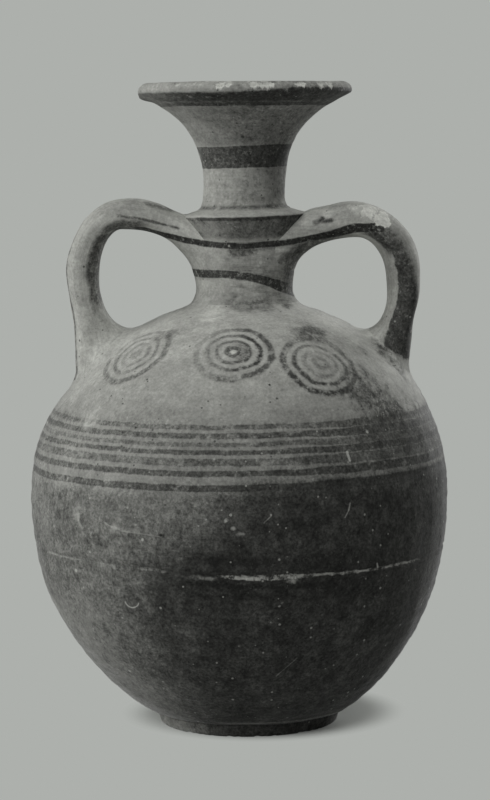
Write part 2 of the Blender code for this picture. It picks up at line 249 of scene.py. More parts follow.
def ridge_side():
    """The cone under the ridge, its edge and the slope above it."""
    arris = NECK_JOINT - RIDGE_TOP_DROP
    nose = RIDGE_RADIUS + 0.0002
    edge = path(
        (STEM_TOP_RADIUS, RIDGE_SEAT),
        ((RIDGE_RADIUS - 0.0003, arris - RIDGE_EDGE - 0.0003), 16),
        ((nose, arris - RIDGE_EDGE), (nose, arris), (RIDGE_RADIUS - 0.0006, arris + 0.0003), 5),
    )
    return edge + straight(edge[-1], (FUNNEL_FOOT_RADIUS, NECK_JOINT), 9)[1:]


def funnel_side():
    """The upper neck from the ridge to the underside of the lip."""
    foot_rise = FUNNEL_WAIST - NECK_JOINT
    funnel_rise = LIP_UNDERSIDE - FUNNEL_WAIST
    corner = (LIP_RADIUS - LIP_CORNER, LIP_UNDERSIDE)
    pull = funnel_rise * 0.27
    lip_pull = (corner[0] - pull * math.cos(LIP_SLOPE), corner[1] - pull * math.sin(LIP_SLOPE))
    waist = FUNNEL_WAIST_RADIUS
    foot_pulls = (waist, NECK_JOINT + foot_rise * 0.3), (waist, FUNNEL_WAIST - foot_rise * 0.5)
    bell_pulls = (waist, FUNNEL_WAIST + funnel_rise * 0.725), lip_pull
    foot = (*foot_pulls, (waist, FUNNEL_WAIST), 16)
    return path((FUNNEL_FOOT_RADIUS, NECK_JOINT), foot, (*bell_pulls, corner, 60))


def lip_side():
    """The lip, from its underside round to the flat on top."""
    nose = LIP_UNDERSIDE + 0.0014
    crest = LIP_RADIUS - LIP_ROUND
    return path(
        (LIP_RADIUS - LIP_CORNER, LIP_UNDERSIDE),
        ((LIP_RADIUS, LIP_UNDERSIDE + 0.0003), (LIP_RADIUS, nose - 0.0005), (LIP_RADIUS, nose), 5),
        ((LIP_RADIUS, nose + 0.0016), (crest + 0.0018, TOTAL_HEIGHT), (crest, TOTAL_HEIGHT), 12),
        ((crest - LIP_TOP_WIDTH, TOTAL_HEIGHT), 5),
    )


OUTER_SKIN = np.array(
    bowl_side() + shoulder_side()[1:] + stem_side()[1:] + ridge_side()[1:] + funnel_side()[1:]
)


def skin_distance(radius, height):
    """Signed distance from the vessel's outer skin and its outward direction, in (radius, height)."""
    start, end = OUTER_SKIN[:-1], OUTER_SKIN[1:]
    run = end - start
    length = np.linalg.norm(run, axis=1)
    outward = np.stack([run[:, 1], -run[:, 0]], axis=1) / length[:, None]
    spots = np.stack([radius, height], axis=1)
    gap = spots[:, None, :] - start[None]
    share = np.clip((gap * run).sum(2) / length ** 2, 0, 1)
    away = gap - share[..., None] * run
    distance = np.linalg.norm(away, axis=2)
    nearest = distance.argmin(1)
    pick = np.arange(len(spots))
    normal = outward[nearest]
    side = np.sign((away[pick, nearest] * normal).sum(1))
    return distance[pick, nearest] * np.where(side == 0, 1, side), normal


def vessel_distance(points):
    """Signed distance from the vessel's skin and its outward normal, in space."""
    radius = np.hypot(points[:, 0], points[:, 1])
    gap, normal = skin_distance(radius, points[:, 2])
    around = points[:, :2] / np.maximum(radius, 1e-9)[:, None]
    return gap, np.column_stack([around * normal[:, :1], normal[:, 1]])


def tree_distance(tree, points, limit=0.02):
    """Signed distance from a closed mesh and its outward direction."""
    gaps = np.full(len(points), limit)
    normals = np.zeros((len(points), 3))
    normals[:, 2] = 1
    for index, point in enumerate(points):
        spot, normal, _, gap = tree.find_nearest(Vector(point), limit)
        if spot is None:
            continue
        away = Vector(point) - spot
        outside = away.dot(normal) >= 0
        gaps[index] = gap if outside else -gap
        normals[index] = (away if outside else -away).normalized() if gap > 0.0004 else normal
    return gaps, normals


def smoothstep(value, low, high):
    """0 at low, 1 at high, smooth between; high may be the smaller one."""
    share = np.clip((value - low) / (high - low), 0, 1)
    return share * share * (3 - 2 * share)


def luting_reach(points):
    """How far clay is smoothed out at a place: well on neck and shoulder, hardly under the ridge."""
    near_ridge = smoothstep(points[:, 2], RIDGE_SEAT - 0.004, RIDGE_SEAT + 0.003)
    on_neck = smoothstep(points[:, 2], *NECK_LUTED)
    outside = smoothstep(np.abs(points[:, 0]), *OUTSIDE_LUTED)
    reach = SHOULDER_LUTING + (OUTER_LUTING - SHOULDER_LUTING) * outside
    reach += (NECK_LUTING - reach) * on_neck
    return reach + (RIDGE_LUTING - reach) * near_ridge


def lute(points, own, other):
    """Move points out to the smooth union of two surfaces, as clay is smoothed over a joint.

    own and other give signed distances and normals.
    """
    first_gap, _ = other(points)
    worked = (first_gap < SHOULDER_LUTING * 1.2) & (first_gap > -LUTING_DEPTH)
    keep = smoothstep(first_gap, -LUTING_DEPTH, -LUTING_DEPTH + 0.001)
    moved = points.copy()
    for _ in range(LUTING_PASSES):
        spots = moved[worked]
        if not len(spots):
            break
        gap_own, normal_own = own(spots)
        gap_other, normal_other = other(spots)
        reach = luting_reach(spots)
        overlap = np.clip(1 - np.abs(gap_own - gap_other) / reach, 0, 1)
        value = np.minimum(gap_own, gap_other) - overlap ** 2 * reach / 4
        value += TUCK * smoothstep(gap_own - gap_other, -0.0004, 0.0006)
        share = np.where(gap_other < gap_own, 1 - overlap / 2, overlap / 2)[:, None]
        slope = normal_own * (1 - share) + normal_other * share
        stride = np.clip(-value / np.maximum((slope ** 2).sum(1), 0.25), *LUTING_STRIDE)
        moved[worked] = spots + slope * (stride * keep[worked])[:, None]
    return moved


RANDOM = np.random.default_rng(11)
THROWING_LINES = [
    (RANDOM.uniform(0.0028, 0.0095), RANDOM.uniform(0, 2 * math.pi), RANDOM.integers(-1, 3))
    for _ in range(9)
]
LUMPS = []
for wavelength in np.geomspace(0.012, 0.07, 14):
    heading = RANDOM.normal(size=3)
    heading *= 2 * math.pi / wavelength / np.linalg.norm(heading)
    LUMPS.append((heading, RANDOM.uniform(0, 2 * math.pi), (wavelength / 0.07) ** 0.6))


def clay_relief(points):
    """How far the thrower's fingers left the skin from its true circle, at each point."""
    angle = np.arctan2(points[:, 1], points[:, 0])
    total = np.zeros(len(points))
    for wavelength, phase, twist in THROWING_LINES:
        wave = np.sin(2 * math.pi * points[:, 2] / wavelength + phase + twist * angle)
        total += THROWING_DEPTH * wave * (0.6 + 0.4 * np.sin(angle + phase))
    for heading, phase, share in LUMPS:
        total += LUMP_DEPTH * share * np.sin(points @ heading + phase)
    slim = smoothstep(points[:, 2], 0.16, 0.185)
    at_seam = np.exp(-((points[:, 2] - SEAM_HEIGHT) / 0.004) ** 2)
    uneven_seam = 0.00012 * np.sin(7 * angle) + 0.0001 * np.sin(17 * angle + 1)
    off_ground = smoothstep(points[:, 2], 0, 0.007)
    return (total * (1 - 0.55 * slim) + at_seam * uneven_seam) * off_ground


def pull_relief(points):
    """Unevenness of a pulled handle."""
    total = np.zeros(len(points))
    for heading, phase, share in LUMPS:
        total += PULL_DEPTH * share * np.sin(points @ (1.6 * heading) + 2 * phase)
    return total


def seam_rise(bearing):
    """How far the seam lies above its lowest place, by bearing."""
    left, right, back = (smoothstep(bearing, *ends) for ends in (SEAM_LEFT, SEAM_RIGHT, SEAM_BACK))
    return SEAM_RISE * (left + right * SEAM_RIGHT_SHARE + back * (1 - SEAM_RIGHT_SHARE))


def body_radius(height):
    """Radius of the body's true outline at a height."""
    drop = np.where(height >= BELLY_HEIGHT, SHOULDER_RISE, BELLY_DROP)
    return BELLY_RADIUS * np.sqrt(1 - ((height - BELLY_HEIGHT) / drop) ** 2)


def waver_seam(points):
    """Move the clay round the seam up and down, so that the seam is not level."""
    height = points[:, 2]
    near = smoothstep(np.abs(height - SEAM_HEIGHT), 0.018, 0.002)
    bearing = np.arctan2(points[:, 0], -points[:, 1])
    moved = points.copy()
    moved[:, 2] += near * (seam_rise(bearing) - SEAM_DIP)
    moved[:, :2] *= (body_radius(moved[:, 2]) / body_radius(height))[:, None]
    return moved


def lean(points):
    """The whole jug's hand-made lean: the belly to the left, and the ridge a little tilted."""
    height = points[:, 2]
    radius = np.hypot(points[:, 0], points[:, 1])
    belly = smoothstep(height, *BELLY_LEANS) * smoothstep(height, *BELLY_STRAIGHTENS)
    ridge = smoothstep(height, *RIDGE_TILTS) * smoothstep(height, *RIDGE_LEVELS)
    ridge *= smoothstep(radius, *RIDGE_REACH)
    funnel = smoothstep(height, *FUNNEL_LEANS) * (radius < LIP_RADIUS * 1.1)
    moved = points.copy()
    moved[:, :2] *= 1 + (LIP_SPREAD * smoothstep(height, *LIP_SPREADS))[:, None]
    moved[:, 0] += BELLY_LEAN * belly + FUNNEL_LEAN * funnel
    moved[:, 2] += RIDGE_TILT * points[:, 0] * ridge
    return moved


def ring_faces(rings):
    """Faces between each ring of point numbers and the next one; points that meet count once."""
    faces = []
    for near, far in zip(rings, rings[1:]):
        for corners in zip(near, near[1:] + near[:1], far[1:] + far[:1], far):
            faces.append(tuple(dict.fromkeys(corners)))
    return faces


def turned(outline):
    """Points, faces and outward pushes of an outline turned round the axis.

    An outline that doesn't start on the axis is closed from its end to its start.
    """
    angles = np.linspace(0, 2 * math.pi, TURN_STEPS, endpoint=False)
    around = np.column_stack([np.cos(angles), np.sin(angles), np.zeros(TURN_STEPS)])
    _, outward = skin_distance(*np.array(outline).T)
    points, pushes, rings = [], [], []
    for (radius, height), (out, up) in zip(outline, outward):
        on_axis = radius < 1e-6
        spots = around[:1] if on_axis else around
        rings.append([len(points) + index % len(spots) for index in range(TURN_STEPS)])
        points.extend(spots * radius + (0, 0, height))
        pushes.extend((spots * out + (0, 0, up)) * (not on_axis))
    if outline[0][0] > 0:
        rings.append(rings[0])
    return np.array(points), ring_faces(rings), np.array(pushes)


def put(name, data):
    """An object in the scene."""
    item = bpy.data.objects.new(name, data)
    bpy.context.scene.collection.objects.link(item)
    return item


def add_piece(name, points, faces, material, node, slot, **attributes):
    """Make a mesh object that stands for a frame node."""
    mesh = bpy.data.meshes.new(name)
    mesh.from_pydata([tuple(point) for point in points], [], faces)
    for key, values in attributes.items():
        layer = mesh.attributes.new(key, "FLOAT", "POINT")
        layer.data.foreach_set("value", np.asarray(values, np.float32))
    bm = bmesh.new()
    bm.from_mesh(mesh)
    bmesh.ops.recalc_face_normals(bm, faces=bm.faces)
    bm.to_mesh(mesh)
    bm.free()
    mesh.shade_smooth()
    mesh.set_sharp_from_angle(angle=SHARP_ANGLE)
    mesh.materials.append(material)
    piece = put(name, mesh)
    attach(piece, "root")
    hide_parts(node)


# Outlines of the turned pieces


def foot_outline():
    inner = FOOT_RADIUS - FOOT_WIDTH
    pulls = (FOOT_RADIUS + 0.0003, 0.0001), (FOOT_RADIUS + 0.0001, 0.0022)
    side = (*pulls, (FOOT_TOP_RADIUS, FOOT_HEIGHT), 14)
    return path((inner, 0), ((FOOT_RADIUS - 0.0008, 0), 4), side) + [(inner, FOOT_HEIGHT)]


def bowl_outline():
    tongue_top = SEAM_HEIGHT + LAP_LENGTH
    outline = [(0, FOOT_HEIGHT)] + straight((0.004, FOOT_HEIGHT), (BASE_RADIUS, FOOT_HEIGHT), 6)[:-1]
    outline += bowl_side()
    outline += body_arc(SEAM_HEIGHT, tongue_top, 6, BODY_WALL / 2)
    outline += body_arc(tongue_top, FLOOR_HEIGHT, 60, BODY_WALL)
    return outline + [(0, FLOOR_HEIGHT)]


def shoulder_outline():
    tongue_top = SEAM_HEIGHT + LAP_LENGTH
    opening_inner = body_height(OPENING_RADIUS, BODY_WALL)
    outline = shoulder_side()
    outline += [(OPENING_RADIUS, body_height(OPENING_RADIUS))]
    outline += body_arc(opening_inner, tongue_top, 60, BODY_WALL)
    return outline + body_arc(tongue_top, SEAM_HEIGHT, 6, BODY_WALL / 2)


def stem_outline():
    spigot_end = body_height(OPENING_RADIUS, BODY_WALL)
    socket_floor = NECK_JOINT - SOCKET_DEPTH
    outline = stem_side()
    outline += [(RIDGE_BORE, RIDGE_SEAT), (RIDGE_BORE, NECK_JOINT), (SOCKET_RADIUS, NECK_JOINT)]
    outline += [(SOCKET_RADIUS, socket_floor)]
    outline += straight((NECK_BORE, socket_floor), (NECK_BORE, spigot_end), 20)
    return outline + [(OPENING_RADIUS, spigot_end), (OPENING_RADIUS, body_height(OPENING_RADIUS))]


def ridge_outline():
    return ridge_side() + [(RIDGE_BORE, NECK_JOINT), (RIDGE_BORE, RIDGE_SEAT)]


def funnel_outline():
    bell = funnel_side()
    bore = [
        (max(NECK_BORE, radius), height)
        for radius, height in inset(bell, FUNNEL_WALL)
        if NECK_JOINT < height < TOTAL_HEIGHT - 0.0012
    ]
    outline = bell + lip_side()[1:]
    outline += bore[::-1]
    outline += [(NECK_BORE, NECK_JOINT - SOCKET_DEPTH), (SOCKET_RADIUS, NECK_JOINT - SOCKET_DEPTH)]
    return outline + [(SOCKET_RADIUS, NECK_JOINT)]


# Handles


def shoulder_point(radius):
    """A point a little under the shoulder's skin, square to it."""
    height = body_height(radius)
    slope = (radius / BELLY_RADIUS ** 2, (height - BELLY_HEIGHT) / SHOULDER_RISE ** 2)
    normal = Vector(slope).normalized()
    return radius - normal.x * HANDLE_FOOT_DEPTH, height - normal.y * HANDLE_FOOT_DEPTH


# One edge of a handle: the height of its root, its crown, its outermost place and the radius of
# its end on the shoulder, then how long its curve runs level or upright there, as shares of the way.
Edge = namedtuple(
    "Edge",
    "root crown reach foot root_pull root_run crown_run reach_run foot_run foot_pull",
)

HANDLE_EDGES = {
    -1: (
        Edge(0.2035, (0.0474, HANDLE_TOP_LEFT), (HANDLE_REACH + 0.0003, 0.1848), 0.0711,
             (0.17, 0.05), 0.53, 0.43, 0.58, 0.35, (-0.17, 0.73)),
        Edge(0.1765, (0.0497, HANDLE_TOP_LEFT - 0.0122), (HANDLE_REACH - 0.0128, 0.1825), 0.049,
             (0.15, 0.05), 0.87, 0.3, 0.75, 0.63, (0.5, 0.45)),
    ),
    1: (
        Edge(0.2035, (0.0451, HANDLE_TOP_RIGHT + 0.0003), (HANDLE_REACH - 0.0007, 0.1839), 0.0698,
             (0.39, 0.47), 0.59, 0.35, 0.7, 0.42, (-0.49, 0.57)),
        Edge(0.1765, (0.046, HANDLE_TOP_RIGHT - 0.0142), (HANDLE_REACH - 0.0138, 0.1781), 0.0515,
             (0.13, 0.21), 0.9, 0.3, 0.86, 0.62, (0.38, 0.38)),
    ),
}


def handle_edge(edge):
    """Points of one edge of a handle in the XZ plane: up from the neck, over, and down."""
    root = (HANDLE_ROOT_X, edge.root)
    foot = shoulder_point(edge.foot)
    crown, reach = edge.crown, edge.reach
    rising = towards(root, crown, edge.root_pull), towards(crown, root, (edge.root_run, 0))
    turning = towards(crown, reach, (edge.crown_run, 0)), towards(reach, crown, (0, edge.reach_run))
    falling = towards(reach, foot, (0, edge.foot_run)), towards(foot, reach, edge.foot_pull)
    points = path(root, (*rising, crown, 52), (*turning, reach, 44), (*falling, foot, 52))
    return np.array([(HANDLE_ROOT_END, root[1])] + points)


FOOT_FLARE = 0.007  # how much wider a handle gets at its foot, and over what length
FOOT_FLARE_LENGTH = 0.022
ROOT_FLARE = 0.008  # and at its root
ROOT_FLARE_LENGTH = 0.02
STRAP_ROUNDNESS = 0.8  # of its section: 1 for an oval, less for flatter sides
ROOT_SPREAD = {-1: 0, 1: 0.0095}  # how far the clay under a root is pressed round the neck
ROOT_LIMIT = STEM_RADIUS - 0.0021


def strap(side):
    """Points and faces of a handle, with how far along and how far round each point is.

    round is 0 at the middle of the outer face and pi at the middle of the inner one.
    """
    outer, inner = (handle_edge(edge) for edge in HANDLE_EDGES[side])
    centre = (outer + inner) / 2
    half = (outer - inner) / 2
    length = np.concatenate([[0], np.cumsum(np.linalg.norm(np.diff(centre, axis=0), axis=1))])
    near_foot = np.clip(1 - (length[-1] - length) / FOOT_FLARE_LENGTH, 0, 1) ** 2
    near_root = np.clip(1 - length / ROOT_FLARE_LENGTH, 0, 1) ** 1.6
    width = HANDLE_WIDTH + FOOT_FLARE * near_foot + ROOT_FLARE * near_root
    turn = np.linspace(0, 2 * math.pi, STRAP_SIDES, endpoint=False)
    across = np.sign(np.cos(turn)) * np.abs(np.cos(turn)) ** STRAP_ROUNDNESS
    deep = -np.sign(np.sin(turn)) * np.abs(np.sin(turn)) ** STRAP_ROUNDNESS
    points = np.empty((len(centre), STRAP_SIDES, 3))
    points[..., 0] = centre[:, None, 0] + half[:, None, 0] * across
    lower = ROOT_SPREAD[side] * near_root[:, None] * (1 - across) / 2
    points[..., 1] = np.clip((width[:, None] / 2 + lower) * deep, -ROOT_LIMIT, ROOT_LIMIT)
    points[..., 2] = centre[:, None, 1] + half[:, None, 1] * across
    wrap = STEM_RADIUS - np.sqrt(STEM_RADIUS ** 2 - points[..., 1] ** 2)
    points[..., 0] -= wrap * (1 - smoothstep(points[..., 0], STEM_RADIUS - 0.001, STEM_RADIUS + 0.013))
    points[..., 0] *= side
    rings = np.arange(len(centre) * STRAP_SIDES).reshape(len(centre), STRAP_SIDES).tolist()
    faces = ring_faces(rings) + [tuple(rings[0][::-1]), tuple(rings[-1])]
    faces = [face[::side] for face in faces]
    along = np.repeat(length, STRAP_SIDES)
    round_share = np.tile(np.minimum(turn, 2 * math.pi - turn), len(centre))
    return points.reshape(-1, 3), faces, along, round_share


# Shader nodes


class Field:
    """A number that varies from place to place; arithmetic with it makes shader nodes."""

    def __init__(self, nodes, socket):
        self.nodes = nodes
        self.socket = socket

    def math(self, operation, *others, **settings):
        return self.nodes.math(operation, self, *others, **settings)

    __add__ = partialmethod(math, "ADD")
    __sub__ = partialmethod(math, "SUBTRACT")
    __mul__ = partialmethod(math, "MULTIPLY")
    __truediv__ = partialmethod(math, "DIVIDE")
    __pow__ = partialmethod(math, "POWER")
    __abs__ = partialmethod(math, "ABSOLUTE")
    at_least = partialmethod(math, "MAXIMUM")
    at_most = partialmethod(math, "MINIMUM")

    def __rsub__(self, other):
        return self.nodes.math("SUBTRACT", other, self)

    def clamped(self):
        """The same, held between 0 and 1."""
        return self.math("ADD", 0, use_clamp=True)


class Nodes:
    """Makes the nodes of one node tree."""

    def __init__(self, tree):
        self.tree = tree

    def fill(self, socket, value):
        if isinstance(value, Field):
            self.tree.links.new(value.socket, socket)
        else:
            socket.default_value = value

    def node(self, kind, *values, keyed=(), **settings):
        """Add a node, set its options, and fill its inputs in order, or by the keys given."""
        node = self.tree.nodes.new(kind)
        for key, value in settings.items():
            setattr(node, key, value)
        for key, value in (*enumerate(values), *keyed):
            self.fill(node.inputs[key], value)
        return node

    def field(self, kind, *values, output=0, **settings):
        return Field(self, self.node(kind, *values, **settings).outputs[output])

    def math(self, operation, *values, **settings):
        return self.field("ShaderNodeMath", *values, operation=operation, **settings)

    def vector(self, operation, *values):
        output = "Value" if operation in ("DISTANCE", "DOT_PRODUCT", "LENGTH") else "Vector"
        return self.field("ShaderNodeVectorMath", *values, operation=operation, output=output)


def either(*masks):
    """The strongest of the masks at each place."""
    total = masks[0]
    for mask in masks[1:]:
        total = total.at_least(mask)
    return total


def step(value, low, high):
    """0 at low, 1 at high, smooth between; high may be the smaller one."""
    bounds = (low, high, 0, 1) if low < high else (high, low, 1, 0)
    return value.nodes.field("ShaderNodeMapRange", value, *bounds, interpolation_type="SMOOTHSTEP")


def band(value, low, high, softness):
    """1 between two values."""
    return step(value, low - softness, low + softness) * step(value, high + softness, high - softness)


def line(distance, half_width, softness=0.0003):
    """1 where a distance, of either sign, is less than half_width."""
    return step(abs(distance), half_width + softness, half_width - softness)


def mix(share, first, second):
    keyed = ((0, share), (2, first), (3, second))
    return share.nodes.field("ShaderNodeMix", keyed=keyed, data_type="FLOAT")


class Clay(Nodes):
    """A matt fired clay whose tone is worked out by shader nodes, in the jug's coordinates."""

    def __init__(self, name):
        self.material = bpy.data.materials.new(name)
        self.material.use_nodes = True
        super().__init__(self.material.node_tree)
        self.shader = self.tree.nodes["Principled BSDF"]
        self.place = self.field("ShaderNodeTexCoord", output="Object")
        axes = self.node("ShaderNodeSeparateXYZ", self.place).outputs
        self.x, self.y, self.z = (Field(self, axis) for axis in axes)
        self.flat = self.field("ShaderNodeCombineXYZ", self.x, 0, self.z)
        self.front = step(self.y, 0, -0.002)
        self.bearing = self.math("ARCTAN2", self.x, self.y * -1)
        self.wander = self.noise(75, 2, 0.5, shift=0.7) - 0.5
        self.ragged = self.noise(260, 4, 0.68, shift=0.2) - 0.5

    def attribute(self, name):
        settings = {"attribute_type": "GEOMETRY", "attribute_name": name}
        return self.field("ShaderNodeAttribute", output="Fac", **settings)

    def noise(self, scale, detail, roughness, stretch=(1, 1, 1), shift=0, turn=0):
        """Noise with so many waves to the metre, moved by shift to differ from others."""
        moved = (shift, shift * 0.7, shift * 1.3)
        spread = self.field("ShaderNodeMapping", self.place, moved, (0, turn, 0), stretch)
        keyed = (("Scale", scale), ("Detail", detail), ("Roughness", roughness))
        return self.field("ShaderNodeTexNoise", spread, keyed=keyed)

    def blotch(self, centre, radius, edge=0.5, squeeze=(1, 1, 1)):
        """A ragged spot round a place; edge is the share of its radius that is ragged."""
        away = self.vector("MULTIPLY", self.vector("SUBTRACT", self.place, centre), squeeze)
        torn = self.vector("LENGTH", away) + self.ragged * (radius * edge * 5)
        return step(torn, radius * (1 + edge), radius * (1 - edge))

    def stroke(self, start, end, half_width, softness=0.0002):
        """A short straight mark between two (x, z) places on the front."""
        first = Vector((start[0], 0, start[1]))
        run = Vector((end[0], 0, end[1])) - first
        away = self.vector("SUBTRACT", self.flat, first)
        share = self.vector("DOT_PRODUCT", away, run / run.length_squared).clamped()
        gap = self.vector("LENGTH", self.vector("MULTIPLY_ADD", share, -run, away))
        torn = gap + self.ragged * (half_width * 2)
        return step(torn, half_width + softness, half_width - softness) * self.front


# Clay, paint, wear, and painted light and shade

PALE_TOP = 0.335  # bare clay round the neck
PALE = 0.3  # and lower on the shoulder
RINGED = 0.24  # the duller clay between the rings
DULL = 0.15  # clay under the rings, left of the dark cloud
LIT_LOW_LEFT = 0.215  # and low down at the left, paler as painted light
CLOUD_AND_SHADE = 0.034  # the fire cloud and painted shade that darken the belly's right side
PAINT = 0.034
STAIN = 0.055
FAR_LEFT_SHADE = 0.195  # painted shade between the rings at the far left
WORN_SMOOTH = 0.17
PEPPER = 0.1  # fine dark spots over the rings
DUST = 0.47  # pale dust round the handles' feet
PAINTED_RIM_LIGHT = 0.45  # painted rim light, paler clay at the right edge of the shoulder
PALE_GRAINS = 0.38
SCUFFED = 0.28
FOOT_RUB = 0.36  # a rubbed line over the foot
SCORCH = 0.018  # the darkest smoke, round the seam
SCRAPED = 0.42  # scratches down to the pale clay
BARE = 0.46  # and patches of it
CHALK = 0.4  # chalky clay left in the seam
BRUSH_MARKS_AND_SHADE = 0.12  # brush marks on the stem, darker on its right half as painted shade
# smudges on the stem, also the dirty clay with painted shade at the right of the upper stem
SMUDGE_AND_SHADE = 0.16
# the ridge's top slope, paler as a painted highlight
RIDGE_TOP = 0.345
RIDGE_UNDERSIDE_SHADE = (0.215, 0.145, 0.085)  # painted shade under the ridge's edge, from the left to the right
BLOTTED = 0.06
STEM = 0.32  # the upper neck's clean clay
WASHED_AND_SHADED = (0.215, 0.18)  # the bell under the lip, left and right, the right one darker as painted shade
LIP_FACE = (0.265, 0.225)  # and the lip itself, the right side darker as painted shade
FRECKLED = 0.075
CHIPPED_CLAY = 0.5  # fresh clay where the lip is chipped
HANDLE_SIDES = 0.34
HANDLE_CROWN = 0.44
FLAKED_CLAY = 0.62  # the palest clay, where the right handle's skin came off
BLOOM = 0.27  # dusty bloom that pales the belly's edges
TINT = (0.985, 1, 0.925)  # the print's slight tint
GRAIN = (
    # waves to the metre, shift, depth on pale clay, depth on dark clay and paint
    (120, 0.3, 0.9, 1.7),
    (330, 0.1, 0.6, 2.2),
    (900, 0.6, 1.05, 3.4),
)
SPECKS = (
    # waves to the metre, shift, share of the cells left plain, size, tone
    (150, 0, 0.8, 0.11, 0.46),
    (330, 0.5, 0.6, 0.17, 0.34),
    (150, 0.8, 0.93, 0.1, 0.02),
    (420, 0.2, 0.74, 0.19, 0.05),
)


def weathered(clay, tone):
    """Broad clouds and streaks."""
    clouds = clay.noise(24, 3, 0.5) - 0.5
    streaks = clay.noise(36, 4, 0.6, stretch=(1, 1, 14), shift=0.9) - 0.5
    return tone * (clouds * 0.6 + 1) * (streaks * 0.25 + 1)


def worn(mask, low, high, scale=240, shift=0.15):
    """Paint rubbed away in flecks, where the noise is under low or so."""
    return mask * step(mask.nodes.noise(scale, 5, 0.7, shift=shift), low, high)


def painted(clay, tone, mask):
    """Dark paint laid on, with small flecks fallen out of it."""
    flecks = step(clay.noise(800, 2, 0.6, shift=1.15), 0.57, 0.66)
    return mix(mask * (1 - flecks * 0.22), tone, PAINT)


def spotted(clay, tone, spots, shade):
    """Ragged spots of one shade."""
    for place, radius, raggedness, strength, *squeeze in spots:
        tone = mix(clay.blotch(place, radius, raggedness, *squeeze) * strength, tone, shade)
    return tone


def specks(clay, tone):
    """Scattered pale grains and dark pits."""
    for scale, shift, left_plain, size, shade in SPECKS:
        moved = clay.field("ShaderNodeMapping", clay.place, (shift, shift, shift))
        cells = clay.node("ShaderNodeTexVoronoi", moved, keyed=(("Scale", scale),)).outputs
        lot = clay.field("ShaderNodeSeparateColor", Field(clay, cells["Color"]))
        reach = step(lot, left_plain, 1) * size
        gap = reach - (Field(clay, cells["Distance"]) + clay.ragged * 0.25)
        tone = mix(step(gap, -0.03, 0.04) * 0.8, tone, shade)
    return tone


def finished(clay, tone, paint):
    """Grain, dust and specks, then colour, roughness and bump."""
    dark = step(tone, 0.27, 0.1)
    for scale, shift, pale_depth, dark_depth in GRAIN:
        grain = clay.noise(scale, 4, 0.72, shift=shift) - 0.5
        swing = grain * mix(dark, pale_depth, dark_depth) + 1
        tone = tone * swing.at_least(0.15)
    dust = step(clay.noise(620, 3, 0.7, shift=1.75), 0.57, 0.74)
    tone = specks(clay, mix(dust * 0.12, tone, 0.32))
    height = clay.noise(330, 5, 0.7, shift=0.4)
    relief = (("Strength", 0.7), ("Distance", 0.0004), ("Height", height))
    looks = (
        ("Base Color", clay.field("ShaderNodeCombineColor", *(tone * share for share in TINT))),
        ("Roughness", clay.ragged * 0.25 + 0.82 - paint * 0.1),
        ("Specular IOR Level", 0.12),
        ("Normal", clay.field("ShaderNodeBump", keyed=relief)),
    )
    for key, value in looks:
        clay.fill(clay.shader.inputs[key], value)
    return clay.material


# The belly's paint

BELLY_RINGS = (
    # height, half-width, strength
    (0.1064, 0.00125, 1),
    (0.1118, 0.0011, 0.9),
    (0.116, 0.00135, 0.68),
    (0.1196, 0.0009, 0.85),
    (0.1225, 0.0008, 0.6),
    (0.1256, 0.001, 0.85),
    (0.1287, 0.00085, 0.66),
)
CIRCLES = (
    # radius, half-width
    (0.0027, 0.00095),
    (0.0066, 0.00085),
    (0.0104, 0.0009),
    (0.0147, 0.00125),
)
CIRCLE_SETS = (
    # centre, strength, share of it for the two inner circles, direction of the darkest side
    ((-0.0442, -0.0356, 0.155), 0.6, 0.75, -60),
    ((-0.0048, -0.0527, 0.1556), 1, 1, -15),
    ((0.0287, -0.0504, 0.1496), 1, 0.55, -110),
    ((-0.042, 0.0392, 0.153), 0.7, 0.8, 200),
    ((-0.001, 0.053, 0.1555), 0.85, 0.9, 20),
    ((0.039, 0.042, 0.1525), 0.75, 0.7, -70),
)
EYE = 1  # the set whose middle is filled in round a bare dot


def belly_rings(clay):
    height = clay.z + clay.wander * 0.0012 + clay.ragged * 0.001
    swelling = band(clay.bearing, 0.4, 2.2, 0.35) * 0.0006
    rings = []
    for ring, half_width, strength in BELLY_RINGS:
        gap = abs(height - ring) - swelling - half_width
        rings.append(step(gap, 0.0003, -0.0003) * strength)
    faded_left = step(clay.x, -0.065, 0.018) * 0.26 + 0.7
    return worn(either(*rings) * faded_left, 0.26, 0.5)


def circle_set(clay, centre, strength, inner, darkest, eye):
    """Concentric circles painted round a place, stronger on one side."""
    away = clay.vector("DISTANCE", clay.place, centre) + clay.wander * 0.003 + clay.ragged * 0.0022
    circles = [line(away - radius, half_width, 0.0006) for radius, half_width in CIRCLES]
    circles[:2] = [circle * inner for circle in circles[:2]]
    if eye:
        filled = band(away, 0.002, 0.0066, 0.0005) * step(clay.x - centre[0], -0.002, 0.004)
        circles += [filled * 0.7, band(away, 0.0014, 0.003, 0.0004)]
        circles[3] = circles[3] * 0.84
    turn = math.radians(darkest)
    reach = (clay.x - centre[0]) * math.cos(turn) + (clay.z - centre[2]) * math.sin(turn)
    uneven = step(reach, -0.012, 0.01) * 0.55 + 0.45
    return either(*circles) * (uneven * strength)


def circle_sets(clay):
    sets = [circle_set(clay, *row, index == EYE) for index, row in enumerate(CIRCLE_SETS)]
    return worn(either(*sets), 0.27, 0.54, 240, 0.45)
